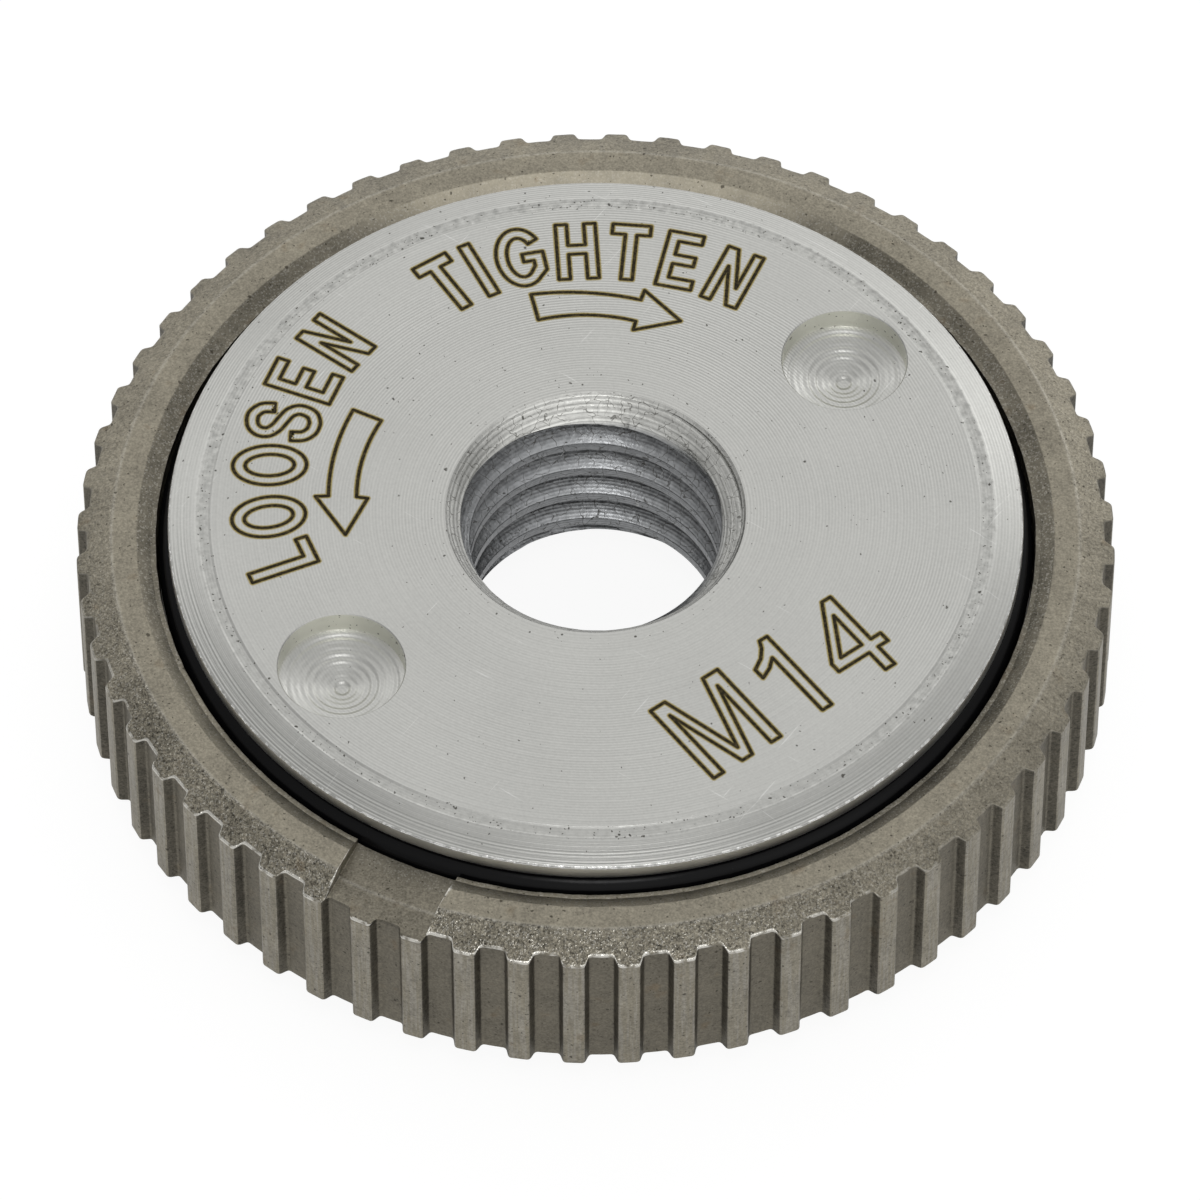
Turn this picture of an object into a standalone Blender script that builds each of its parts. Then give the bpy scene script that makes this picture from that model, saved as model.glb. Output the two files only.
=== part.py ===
# Quick release nut for an angle grinder spindle.
#
# A threaded hub carries a ribbed grip ring and, below it, a thrust flange that clamps the wheel.
# Six balls, held in pockets of the ring's web, run between a race in the hub and six ramps in the
# flange. Turning the ring anticlockwise rolls the balls down the ramps, so the flange rises and
# the clamping load is gone. A torsion spring turns the ring back.
#
# The origin is the centre of the clamping face, and +Z points up to the marked face.

import math

import bmesh
import bpy
from mathutils import Matrix, Vector

MM = 0.001
MERGE_DISTANCE = 0.001 * MM

# Hub sleeve and thread
THREAD_MINOR_RADIUS = 6.0 * MM
SLEEVE_WALL = 3.5 * MM
SLEEVE_END_HEIGHT = 1.8 * MM
SLEEVE_END_CHAMFER = 0.3 * MM
COUNTERSINK_WIDTH = 1.15 * MM
SNAP_GROOVE_DEPTH = 0.7 * MM
SNAP_GROOVE_LAND = 0.8 * MM

# Retaining ring and the wave spring above it
SNAP_RING_THICKNESS = 0.9 * MM
SNAP_RING_WIDTH = 1.9 * MM
SNAP_RING_GAP_ANGLE = 16.0
SNAP_LUG_RADIUS = 1.15 * MM
SNAP_LUG_HOLE_RADIUS = 0.55 * MM
LIFT_SPRING_HEIGHT = 0.65 * MM
LIFT_SPRING_THICKNESS = 0.25 * MM
LIFT_SPRING_WIDTH = 1.9 * MM
LIFT_SPRING_WAVES = 3

# Thrust flange
RECESS_MARGIN = 1.6 * MM
FLANGE_WEB_THICKNESS = 1.1 * MM
FLANGE_EDGE_CHAMFER = 0.3 * MM
FLARE_OVERHANG = 0.75 * MM
RAMP_INNER_WALL = 1.05 * MM
RAMP_OUTER_WALL = 0.7 * MM

# Balls, ramps and race
BALL_COUNT = 6
BALL_RADIUS = 2.0 * MM
RAMP_DEPTH = 0.4 * MM
RACE_DEPTH = 0.6 * MM
RING_TURN = 30.0
FLANGE_LIFT = 0.8 * MM

# Drive pins
PIN_COUNT = 3
PIN_RADIUS = 1.25 * MM
PIN_EDGE_CHAMFER = 0.25 * MM
PIN_ABOVE_RACE = 1.4 * MM
PIN_BORE_FLOOR = 1.2 * MM
PIN_BORE_SPARE = 0.4 * MM

# Return spring
RETURN_WIRE_RADIUS = 0.35 * MM
RETURN_COIL_GAP = 0.12 * MM
RETURN_LEG_LENGTH = 1.3 * MM
RETURN_BEND_RADIUS = 0.6 * MM

# Seals
RIM_SEAL_SECTION = 1.8 * MM
FLANGE_SEAL_SECTION = 1.4 * MM

# Hub disc
JOURNAL_HEIGHT = 0.8 * MM
RIM_WALL_HEIGHT = 0.8 * MM
BEVEL_WIDTH = 1.45 * MM
BEVEL_DROP = 0.45 * MM
FACE_GROOVE_WIDTH = 0.55 * MM
FACE_GROOVE_DEPTH = 0.08 * MM
SPANNER_HOLE_SPACING = 30.0 * MM
SPANNER_HOLE_RADIUS = 3.0 * MM
SPANNER_HOLE_DEPTH = 1.2 * MM
SPANNER_CONE_DEPTH = 0.75 * MM
SPANNER_HOLE_ANGLE = 37.2

# Grip ring
FACE_PROUD = 1.45 * MM
RIM_GAP = 0.6 * MM
LIP_WIDTH = 0.15 * MM
CHAMFER_WIDTH = 0.62 * MM
CHAMFER_DROP = 0.30 * MM
BEAD_WIDTH = 1.31 * MM
BAND_WIDTH = 1.72 * MM
BAND_DROP = 0.74 * MM
RING_STANDOFF = 2.4 * MM
LOWER_EDGE_CHAMFER = 0.3 * MM
WEB_INNER_WALL = 1.85 * MM
RIB_COUNT = 60
RIB_HEIGHT = 0.5 * MM
RIB_TIP_WIDTH = 0.98 * MM
RIB_FOOT_WIDTH = 1.40 * MM
RIB_EDGE_RADIUS = 0.08 * MM
RIB_FIRST_ANGLE = 3.65
NOTCH_WIDTH = 5.15 * MM
NOTCH_DEPTH = 0.65 * MM
NOTCH_ANGLE = 245.1

# Clearances
SLEEVE_CLEARANCE = 0.1 * MM
SPRING_BORE_CLEARANCE = 0.3 * MM
SEAT_CLEARANCE = 0.05 * MM
BALL_CLEARANCE = 0.15 * MM
SEAL_CLEARANCE = 0.1 * MM
SEAL_GROOVE_CLEARANCE = 0.2 * MM
JOURNAL_CLEARANCE = 0.1 * MM
FLANGE_CLEARANCE = 0.2 * MM
AXIAL_CLEARANCE = 0.2 * MM
HUB_WEB_CLEARANCE = 0.3 * MM
PIN_CLEARANCE = 0.05 * MM
PIN_SLIDE_CLEARANCE = 0.1 * MM
PIN_SLOT_CLEARANCE = 0.2 * MM
LEG_CLEARANCE = 0.2 * MM

# Facets and cutter margins
RING_FACETS = 120
TURNED_FACETS = 60
HOLE_FACETS = 24
PIN_FACETS = 16
BALL_FACETS = 12
RAMP_STEPS = 5
RACE_STEPS = 4
BEND_STEPS = 4
LUG_STEPS = 8
SEAL_FACETS = 48
SEAL_SECTION_FACETS = 8
SNAP_STEPS = 30
COIL_STEPS_PER_TURN = 20
END_RING_ANGLES = (25, 50, 75)
SHARP_ANGLE = 30
CUT_MARGIN = 1.0 * MM
WEB_CUT_MARGIN = 0.25 * MM

# Radii that follow, from the thread outwards
sleeve_radius = THREAD_MINOR_RADIUS + SLEEVE_WALL
snap_groove_radius = sleeve_radius - SNAP_GROOVE_DEPTH
snap_inner_radius = snap_groove_radius + SEAT_CLEARANCE
lift_spring_inner_radius = sleeve_radius + SPRING_BORE_CLEARANCE
lift_spring_outer_radius = lift_spring_inner_radius + LIFT_SPRING_WIDTH
recess_radius = lift_spring_outer_radius + RECESS_MARGIN
track_radius = BALL_RADIUS + BALL_CLEARANCE
ball_circle_radius = recess_radius + RAMP_INNER_WALL + track_radius
web_bore_radius = ball_circle_radius - track_radius - WEB_INNER_WALL
spring_coil_radius = (sleeve_radius + web_bore_radius) / 2
flange_groove_radius = ball_circle_radius + track_radius + RAMP_OUTER_WALL
flange_seal_radius = flange_groove_radius + SEAL_CLEARANCE + FLANGE_SEAL_SECTION / 2
ring_bore_radius = flange_seal_radius + FLANGE_SEAL_SECTION / 2 + SEAL_CLEARANCE
flange_radius = ring_bore_radius - FLANGE_CLEARANCE
flange_bore_radius = sleeve_radius + SLEEVE_CLEARANCE
flare_radius = flange_radius + FLARE_OVERHANG
journal_radius = ring_bore_radius - JOURNAL_CLEARANCE
rim_seal_radius = ring_bore_radius - SEAL_CLEARANCE - RIM_SEAL_SECTION / 2
rim_groove_radius = rim_seal_radius - RIM_SEAL_SECTION / 2 - SEAL_CLEARANCE
rim_radius = ring_bore_radius - RIM_GAP
bevel_inner_radius = rim_radius - BEVEL_WIDTH
face_radius = bevel_inner_radius - FACE_GROOVE_WIDTH
lip_outer_radius = ring_bore_radius + LIP_WIDTH
bead_inner_radius = lip_outer_radius + CHAMFER_WIDTH
bead_outer_radius = bead_inner_radius + BEAD_WIDTH
ring_outer_radius = bead_outer_radius + BAND_WIDTH
ring_floor_radius = ring_outer_radius - RIB_HEIGHT

# Heights that follow, from the clamping face up
snap_groove_bottom = SLEEVE_END_HEIGHT + SNAP_GROOVE_LAND
snap_ring_bottom = snap_groove_bottom + SEAT_CLEARANCE
snap_ring_top = snap_ring_bottom + SNAP_RING_THICKNESS
snap_groove_top = snap_ring_top + SEAT_CLEARANCE
recess_height = snap_groove_top + LIFT_SPRING_HEIGHT + SEAT_CLEARANCE
flange_height = recess_height + FLANGE_WEB_THICKNESS
flare_height = RING_STANDOFF - FLANGE_LIFT - AXIAL_CLEARANCE
flange_seal_height = (flare_height + flange_height) / 2
ball_height = flange_height - RAMP_DEPTH + BALL_RADIUS
hub_underside = ball_height + BALL_RADIUS - RACE_DEPTH
web_bottom = flange_height + FLANGE_LIFT + AXIAL_CLEARANCE
web_top = hub_underside - HUB_WEB_CLEARANCE
rim_groove_bottom = hub_underside + JOURNAL_HEIGHT
rim_groove_top = rim_groove_bottom + RIM_SEAL_SECTION + 2 * SEAL_GROOVE_CLEARANCE
rim_seal_height = rim_groove_top - SEAL_GROOVE_CLEARANCE - RIM_SEAL_SECTION / 2
rim_edge_height = rim_groove_top + RIM_WALL_HEIGHT
face_height = rim_edge_height + BEVEL_DROP
bead_height = face_height - FACE_PROUD
band_foot_height = bead_height - BAND_DROP
lip_height = bead_height - CHAMFER_DROP
pin_top = ball_height + track_radius + PIN_ABOVE_RACE
pin_bottom = PIN_BORE_FLOOR + PIN_BORE_SPARE + FLANGE_LIFT

# The return spring's coil, between the ring's web and the hub's underside
coil_bottom = web_bottom + RETURN_WIRE_RADIUS + SEAT_CLEARANCE
coil_rise = hub_underside - RETURN_WIRE_RADIUS - 2 * SEAT_CLEARANCE - coil_bottom
return_turns = coil_rise / (2 * RETURN_WIRE_RADIUS + RETURN_COIL_GAP)

# Angles that follow, in degrees. The drive pins stand midway between two ramps, and midway
# between the spanner holes as well, so that neither breaks into the other.
ball_step = 360.0 / BALL_COUNT
pin_step = 360.0 / PIN_COUNT
first_pin_angle = SPANNER_HOLE_ANGLE + ball_step / 2
first_ball_angle = first_pin_angle - (ball_step + RING_TURN) / 2
ring_leg_angle = first_ball_angle + 1.5 * ball_step
hub_leg_angle = ring_leg_angle - 360.0 * return_turns


def at(radius, degrees, height=0.0):
    """A point at this radius, azimuth and height."""
    turn = math.radians(degrees)
    return Vector((radius * math.cos(turn), radius * math.sin(turn), height))


def arc(centre, radius, start, end, steps):
    """Points of an arc in a plane, from one angle in degrees to another, both ends included."""
    points = []
    for step in range(steps + 1):
        turn = math.radians(start + (end - start) * step / steps)
        points.append((centre[0] + radius * math.cos(turn), centre[1] + radius * math.sin(turn)))
    return points


def finish(name, colour, roughness, metallic=1.0):
    """A Principled material with the finish of one piece."""
    material = bpy.data.materials.new(name)
    material.use_nodes = True
    shader = material.node_tree.nodes["Principled BSDF"]
    shader.inputs["Base Color"].default_value = (*colour, 1.0)
    shader.inputs["Roughness"].default_value = roughness
    shader.inputs["Metallic"].default_value = metallic
    material.diffuse_color = (*colour, 1.0)
    return material


def new_object(name, bm, material=None, parent=None):
    """An object from a finished bmesh, smooth apart from its real edges."""
    bmesh.ops.recalc_face_normals(bm, faces=bm.faces)
    mesh = bpy.data.meshes.new(name)
    bm.to_mesh(mesh)
    bm.free()
    mesh.shade_smooth()
    mesh.set_sharp_from_angle(angle=math.radians(SHARP_ANGLE))
    if material:
        mesh.materials.append(material)
    obj = bpy.data.objects.new(name, mesh)
    bpy.context.scene.collection.objects.link(obj)
    obj.parent = parent
    return obj


def turned(profile, facets, phase=0.0, closed=True):
    """A bmesh turned about Z from (radius, height) points.

    An open profile has both its ends on the axis.
    """
    bm = bmesh.new()
    verts = [bm.verts.new(at(radius, phase, height)) for radius, height in profile]
    edges = [bm.edges.new(pair) for pair in zip(verts, verts[1:])]
    if closed:
        edges.append(bm.edges.new((verts[-1], verts[0])))
    bmesh.ops.spin(
        bm,
        geom=verts + edges,
        cent=(0, 0, 0),
        axis=(0, 0, 1),
        angle=math.tau,
        steps=facets,
        use_merge=True,
    )
    bmesh.ops.remove_doubles(bm, verts=bm.verts, dist=MERGE_DISTANCE)
    return bm


def add_prism(bm, outline, bottom, top):
    """Adds a closed prism of this outline, in the XY plane, to a bmesh."""
    lower = [bm.verts.new((x, y, bottom)) for x, y in outline]
    upper = [bm.verts.new((x, y, top)) for x, y in outline]
    bm.faces.new(lower)
    bm.faces.new(upper)
    for i in range(len(outline)):
        bm.faces.new((lower[i - 1], lower[i], upper[i], upper[i - 1]))


def add_cylinder(bm, centre, radius, bottom, top, facets):
    """Adds an upright closed cylinder to a bmesh."""
    outline = arc(centre, radius, 0, 360, facets)[:-1]
    add_prism(bm, outline, bottom, top)


def as_cutter(name, bm):
    """A helper that only cuts, and isn't a piece of the nut."""
    cutter = new_object(name, bm)
    cutter.hide_render = True
    cutter.display_type = "WIRE"
    return cutter


def cut(piece, cutter):
    """Takes the cutter's space out of a piece."""
    modifier = piece.modifiers.new(cutter.name, "BOOLEAN")
    modifier.operation = "DIFFERENCE"
    modifier.solver = "EXACT"
    modifier.object = cutter


def rib_groove_outline(degrees):
    """One groove between two ribs, with rounded rib tips and filleted feet."""
    half_pitch = 180.0 / RIB_COUNT
    tip_angle = half_pitch - math.degrees(RIB_TIP_WIDTH / 2 / ring_outer_radius)
    foot_angle = half_pitch - math.degrees(RIB_FOOT_WIDTH / 2 / ring_floor_radius)
    rounding = math.degrees(RIB_EDGE_RADIUS / ring_outer_radius)

    def wall(height):
        return foot_angle + (tip_angle - foot_angle) * height / RIB_HEIGHT

    half = [
        (foot_angle - rounding, ring_floor_radius),
        (wall(RIB_EDGE_RADIUS), ring_floor_radius + RIB_EDGE_RADIUS),
        (wall(RIB_HEIGHT - RIB_EDGE_RADIUS), ring_outer_radius - RIB_EDGE_RADIUS),
        (tip_angle + rounding, ring_outer_radius),
        (tip_angle + rounding, ring_outer_radius + CUT_MARGIN / 2),
    ]
    sides = [(-angle, radius) for angle, radius in reversed(half)] + half
    return [at(radius, degrees + angle).xy for angle, radius in sides]


def rib_groove_cutter():
    bm = bmesh.new()
    pitch = 360.0 / RIB_COUNT
    bottom = RING_STANDOFF - CUT_MARGIN
    top = bead_height + CUT_MARGIN
    for rib in range(RIB_COUNT):
        middle = RIB_FIRST_ANGLE + pitch * (rib + 0.5)
        add_prism(bm, rib_groove_outline(middle), bottom, top)
    return as_cutter("rib_groove_cutter", bm)


def notch_cutter():
    """The open slot across the top of the ring, square to its own radius."""
    bm = bmesh.new()
    inner = ring_bore_radius - CUT_MARGIN
    outer = ring_outer_radius + CUT_MARGIN
    half = NOTCH_WIDTH / 2
    outline = [(inner, -half), (outer, -half), (outer, half), (inner, half)]
    add_prism(bm, outline, bead_height - NOTCH_DEPTH, bead_height + CUT_MARGIN)
    bm.transform(Matrix.Rotation(math.radians(NOTCH_ANGLE), 4, "Z"))
    return as_cutter("notch_cutter", bm)


def ball_pocket_cutter():
    bm = bmesh.new()
    for ball in range(BALL_COUNT):
        centre = at(ball_circle_radius, first_ball_angle + ball * ball_step).xy
        bottom = web_bottom - WEB_CUT_MARGIN
        top = web_top + WEB_CUT_MARGIN
        add_cylinder(bm, centre, track_radius, bottom, top, PIN_FACETS)
    return as_cutter("ball_pocket_cutter", bm)


def arc_slot_outline(start, end, half_width, steps):
    """A slot round the ball circle with round ends, from one end's centre to the other's."""
    outer = arc((0, 0), ball_circle_radius + half_width, start, end, steps)
    inner = arc((0, 0), ball_circle_radius - half_width, end, start, steps)
    far_end = arc(at(ball_circle_radius, end).xy, half_width, end, end + 180, steps)
    near_end = arc(at(ball_circle_radius, start).xy, half_width, start + 180, start + 360, steps)
    return outer + far_end[1:-1] + inner + near_end[1:-1]


def pin_slot_cutter():
    """The arc slots that the drive pins pass through. Their ends stop the ring's turn."""
    bm = bmesh.new()
    half_width = PIN_RADIUS + PIN_SLOT_CLEARANCE
    for pin in range(PIN_COUNT):
        end = first_pin_angle + pin * pin_step
        outline = arc_slot_outline(end - RING_TURN, end, half_width, RAMP_STEPS)
        add_prism(bm, outline, web_bottom - WEB_CUT_MARGIN, web_top + WEB_CUT_MARGIN)
    return as_cutter("pin_slot_cutter", bm)


def ring_leg_cutter():
    """The slot at the web's inner edge that takes the return spring's outer leg."""
    bm = bmesh.new()
    half = RETURN_WIRE_RADIUS + LEG_CLEARANCE
    inner = web_bore_radius - CUT_MARGIN
    outer = web_bore_radius + RETURN_LEG_LENGTH
    outline = [(inner, -half), (outer, -half), (outer, half), (inner, half)]
    add_prism(bm, outline, web_bottom - WEB_CUT_MARGIN, web_top + WEB_CUT_MARGIN)
    bm.transform(Matrix.Rotation(math.radians(ring_leg_angle), 4, "Z"))
    return as_cutter("ring_leg_cutter", bm)


def make_grip_ring(material, parent):
    profile = [
        (ring_bore_radius, lip_height),
        (lip_outer_radius, lip_height),
        (bead_inner_radius, bead_height),
        (bead_outer_radius, bead_height),
        (ring_outer_radius, band_foot_height),
        (ring_outer_radius, RING_STANDOFF + LOWER_EDGE_CHAMFER),
        (ring_outer_radius - LOWER_EDGE_CHAMFER, RING_STANDOFF),
        (ring_bore_radius + LOWER_EDGE_CHAMFER, RING_STANDOFF),
        (ring_bore_radius, RING_STANDOFF + LOWER_EDGE_CHAMFER),
        (ring_bore_radius, web_bottom),
        (web_bore_radius, web_bottom),
        (web_bore_radius, web_top),
        (ring_bore_radius, web_top),
    ]
    half_facet = 180.0 / RING_FACETS
    blank = turned(profile, RING_FACETS, RIB_FIRST_ANGLE + half_facet)
    ring = new_object("grip_ring", blank, material, parent)
    cut(ring, rib_groove_cutter())
    cut(ring, notch_cutter())
    cut(ring, ball_pocket_cutter())
    cut(ring, pin_slot_cutter())
    cut(ring, ring_leg_cutter())
    return ring


def hub_profile():
    """Half section of the hub, down its outer side and back up its bore."""
    race_half = math.degrees(math.acos((hub_underside - ball_height) / track_radius))
    race_centre = (ball_circle_radius, ball_height)
    race = arc(race_centre, track_radius, 90 - race_half, 90 + race_half, RACE_STEPS)
    bore_top = face_height - COUNTERSINK_WIDTH
    bore_bottom = SLEEVE_END_HEIGHT + COUNTERSINK_WIDTH
    mouth_radius = THREAD_MINOR_RADIUS + COUNTERSINK_WIDTH
    groove_floor = face_height - FACE_GROOVE_DEPTH
    return [
        (mouth_radius, face_height),
        (face_radius, face_height),
        (face_radius, groove_floor),
        (bevel_inner_radius, groove_floor),
        (bevel_inner_radius, face_height - FACE_GROOVE_DEPTH / 2),
        (rim_radius, rim_edge_height),
        (rim_radius, rim_groove_top),
        (rim_groove_radius, rim_groove_top),
        (rim_groove_radius, rim_groove_bottom),
        (journal_radius, rim_groove_bottom),
        (journal_radius, hub_underside),
        *race,
        (sleeve_radius, hub_underside),
        (sleeve_radius, snap_groove_top),
        (snap_groove_radius, snap_groove_top),
        (snap_groove_radius, snap_groove_bottom),
        (sleeve_radius, snap_groove_bottom),
        (sleeve_radius, SLEEVE_END_HEIGHT + SLEEVE_END_CHAMFER),
        (sleeve_radius - SLEEVE_END_CHAMFER, SLEEVE_END_HEIGHT),
        (mouth_radius, SLEEVE_END_HEIGHT),
        (THREAD_MINOR_RADIUS, bore_bottom),
        (THREAD_MINOR_RADIUS, bore_top),
    ]


def spanner_hole_cutter():
    """The two drilled holes that a pin spanner fits, with their drill point."""
    bm = bmesh.new()
    floor = face_height - SPANNER_HOLE_DEPTH
    profile = [(SPANNER_HOLE_RADIUS, face_height + CUT_MARGIN), (SPANNER_HOLE_RADIUS, floor)]
    for side in range(2):
        centre = at(SPANNER_HOLE_SPACING / 2, SPANNER_HOLE_ANGLE + 180 * side)
        loops = []
        for radius, height in profile:
            circle = arc(centre.xy, radius, 0, 360, HOLE_FACETS)[:-1]
            loops.append([bm.verts.new((x, y, height)) for x, y in circle])
        bm.faces.new(loops[0])
        point = bm.verts.new((centre.x, centre.y, floor - SPANNER_CONE_DEPTH))
        for i in range(HOLE_FACETS):
            bm.faces.new((loops[0][i - 1], loops[0][i], loops[1][i], loops[1][i - 1]))
            bm.faces.new((loops[1][i - 1], loops[1][i], point))
    return as_cutter("spanner_hole_cutter", bm)


def hub_drilling_cutter():
    """Blind holes in the hub's underside, for the drive pins and the spring's inner leg."""
    bm = bmesh.new()
    for pin in range(PIN_COUNT):
        centre = at(ball_circle_radius, first_pin_angle + pin * pin_step).xy
        add_cylinder(
            bm,
            centre,
            PIN_RADIUS + PIN_CLEARANCE,
            hub_underside - CUT_MARGIN,
            pin_top + SEAT_CLEARANCE,
            PIN_FACETS,
        )
    leg_hole_radius = RETURN_WIRE_RADIUS + LEG_CLEARANCE
    leg_hole_top = hub_underside + RETURN_LEG_LENGTH + LEG_CLEARANCE
    centre = at(spring_coil_radius, hub_leg_angle).xy
    add_cylinder(
        bm, centre, leg_hole_radius, hub_underside - CUT_MARGIN, leg_hole_top, PIN_FACETS
    )
    return as_cutter("hub_drilling_cutter", bm)


def make_threaded_hub(material, parent):
    hub = new_object("threaded_hub", turned(hub_profile(), TURNED_FACETS), material, parent)
    cut(hub, spanner_hole_cutter())
    cut(hub, hub_drilling_cutter())
    return hub


def ramp_rings(start):
    """Cross sections of one track, as (azimuth, sink, reach past the end, radius)."""
    near_end = []
    far_end = []
    for back in END_RING_ANGLES:
        reach = track_radius * math.sin(math.radians(back))
        radius = track_radius * math.cos(math.radians(back))
        near_end.insert(0, (start, 0.0, -reach, radius))
        far_end.append((start + RING_TURN, FLANGE_LIFT, reach, radius))
    run = []
    for step in range(RAMP_STEPS + 1):
        share = step / RAMP_STEPS
        run.append((start + RING_TURN * share, FLANGE_LIFT * share, 0.0, track_radius))
    return near_end + run + far_end


def ramp_cutter():
    """Six tracks that sink by the flange's lift as the balls run from tight to loose.

    Each is a round bar bent along the ball circle, with half a ball at each end.
    """
    bm = bmesh.new()
    for ball in range(BALL_COUNT):
        loops = []
        for azimuth, sink, reach, radius in ramp_rings(first_ball_angle + ball * ball_step):
            centre = at(ball_circle_radius, azimuth, ball_height - sink)
            centre += reach * at(1, azimuth + 90)
            outward = at(1, azimuth)
            loop = []
            for across, up in arc((0, 0), radius, 0, 360, PIN_FACETS)[:-1]:
                loop.append(bm.verts.new(centre + across * outward + Vector((0, 0, up))))
            loops.append(loop)
        bm.faces.new(loops[0])
        bm.faces.new(loops[-1])
        for first, second in zip(loops, loops[1:]):
            for i in range(PIN_FACETS):
                bm.faces.new((first[i - 1], first[i], second[i], second[i - 1]))
    return as_cutter("ramp_cutter", bm)


def pin_bore_cutter():
    """Blind bores in the flange, in which the drive pins slide."""
    bm = bmesh.new()
    for pin in range(PIN_COUNT):
        centre = at(ball_circle_radius, first_pin_angle + pin * pin_step).xy
        radius = PIN_RADIUS + PIN_SLIDE_CLEARANCE
        add_cylinder(bm, centre, radius, PIN_BORE_FLOOR, flange_height + CUT_MARGIN, PIN_FACETS)
    return as_cutter("pin_bore_cutter", bm)


def make_thrust_flange(material, parent):
    groove_half = FLANGE_SEAL_SECTION / 2 + SEAL_GROOVE_CLEARANCE
    profile = [
        (flange_bore_radius, flange_height),
        (flange_radius - FLANGE_EDGE_CHAMFER, flange_height),
        (flange_radius, flange_height - FLANGE_EDGE_CHAMFER),
        (flange_radius, flange_seal_height + groove_half),
        (flange_groove_radius, flange_seal_height + groove_half),
        (flange_groove_radius, flange_seal_height - groove_half),
        (flange_radius, flange_seal_height - groove_half),
        (flange_radius, flare_height),
        (flare_radius, flare_height),
        (flare_radius, FLANGE_EDGE_CHAMFER),
        (flare_radius - FLANGE_EDGE_CHAMFER, 0.0),
        (recess_radius + FLANGE_EDGE_CHAMFER, 0.0),
        (recess_radius, FLANGE_EDGE_CHAMFER),
        (recess_radius, recess_height),
        (flange_bore_radius, recess_height),
    ]
    flange = new_object("thrust_flange", turned(profile, TURNED_FACETS), material, parent)
    cut(flange, ramp_cutter())
    cut(flange, pin_bore_cutter())
    return flange


def make_balls(material, parent):
    """Six balls that share one mesh. They ride in the pockets of the ring's web."""
    bm = bmesh.new()
    rows = BALL_FACETS // 2 + 2
    bmesh.ops.create_uvsphere(bm, u_segments=BALL_FACETS, v_segments=rows, radius=BALL_RADIUS)
    first = new_object("ball_1", bm, material, parent)
    first.data.shade_smooth()
    balls = [first]
    for number in range(2, BALL_COUNT + 1):
        ball = bpy.data.objects.new(f"ball_{number}", first.data)
        bpy.context.scene.collection.objects.link(ball)
        ball.parent = parent
        balls.append(ball)
    for index, ball in enumerate(balls):
        azimuth = first_ball_angle + index * ball_step
        ball.location = at(ball_circle_radius, azimuth, ball_height)
        ball.rotation_euler.z = math.radians(azimuth)


def make_drive_pins(material, parent):
    """Pins pressed in the hub that keep the flange from turning."""
    for index in range(PIN_COUNT):
        length = pin_top - pin_bottom
        edge = PIN_RADIUS - PIN_EDGE_CHAMFER
        profile = [
            (0.0, length),
            (edge, length),
            (PIN_RADIUS, length - PIN_EDGE_CHAMFER),
            (PIN_RADIUS, PIN_EDGE_CHAMFER),
            (edge, 0.0),
            (0.0, 0.0),
        ]
        bm = turned(profile, PIN_FACETS, closed=False)
        pin = new_object(f"drive_pin_{index + 1}", bm, material, parent)
        pin.location = at(ball_circle_radius, first_pin_angle + index * pin_step, pin_bottom)


def make_return_spring(material, parent):
    """Round wire coil with one leg out into the ring's web and one up into the hub.

    It runs clockwise as it rises, so it winds up when the ring turns anticlockwise.
    """
    bend = RETURN_BEND_RADIUS
    bend_angle = math.degrees(bend / spring_coil_radius)
    quarter = [math.pi / 2 * step / BEND_STEPS for step in range(BEND_STEPS + 1)]
    points = [at(web_bore_radius + RETURN_LEG_LENGTH - LEG_CLEARANCE, ring_leg_angle, coil_bottom)]
    for turn in quarter[:-1]:
        radius = spring_coil_radius + bend * (1 - math.sin(turn))
        azimuth = ring_leg_angle - bend_angle * (1 - math.cos(turn))
        points.append(at(radius, azimuth, coil_bottom))
    coil_steps = round(return_turns * COIL_STEPS_PER_TURN)
    sweep = 360 * return_turns - 2 * bend_angle
    for step in range(coil_steps + 1):
        share = step / coil_steps
        azimuth = ring_leg_angle - bend_angle - sweep * share
        points.append(at(spring_coil_radius, azimuth, coil_bottom + coil_rise * share))
    for turn in quarter[1:]:
        azimuth = hub_leg_angle + bend_angle * (1 - math.sin(turn))
        height = coil_bottom + coil_rise + bend * (1 - math.cos(turn))
        points.append(at(spring_coil_radius, azimuth, height))
    points.append(at(spring_coil_radius, hub_leg_angle, hub_underside + RETURN_LEG_LENGTH))

    curve = bpy.data.curves.new("return_spring", "CURVE")
    curve.dimensions = "3D"
    curve.bevel_depth = RETURN_WIRE_RADIUS
    curve.bevel_resolution = 2
    curve.use_fill_caps = True
    spline = curve.splines.new("POLY")
    spline.points.add(len(points) - 1)
    for place, point in zip(spline.points, points):
        place.co = (*point, 1.0)
    curve.materials.append(material)
    spring = bpy.data.objects.new("return_spring", curve)
    bpy.context.scene.collection.objects.link(spring)
    spring.parent = parent


def make_lift_spring(material, parent):
    """Wave spring between the retaining ring and the flange's web."""
    bm = bmesh.new()
    inner = lift_spring_inner_radius
    outer = lift_spring_outer_radius
    swing = (LIFT_SPRING_HEIGHT - LIFT_SPRING_THICKNESS) / 2
    loops = []
    for step in range(TURNED_FACETS):
        azimuth = 360 * step / TURNED_FACETS
        wave = 1 - math.cos(math.radians(azimuth * LIFT_SPRING_WAVES))
        bottom = snap_groove_top + swing * wave
        top = bottom + LIFT_SPRING_THICKNESS
        corners = [(inner, bottom), (outer, bottom), (outer, top), (inner, top)]
        loops.append([bm.verts.new(at(radius, azimuth, height)) for radius, height in corners])
    for first, second in zip(loops, loops[1:] + loops[:1]):
        for i in range(4):
            bm.faces.new((first[i - 1], first[i], second[i], second[i - 1]))
    new_object("lift_spring", bm, material, parent)


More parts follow.
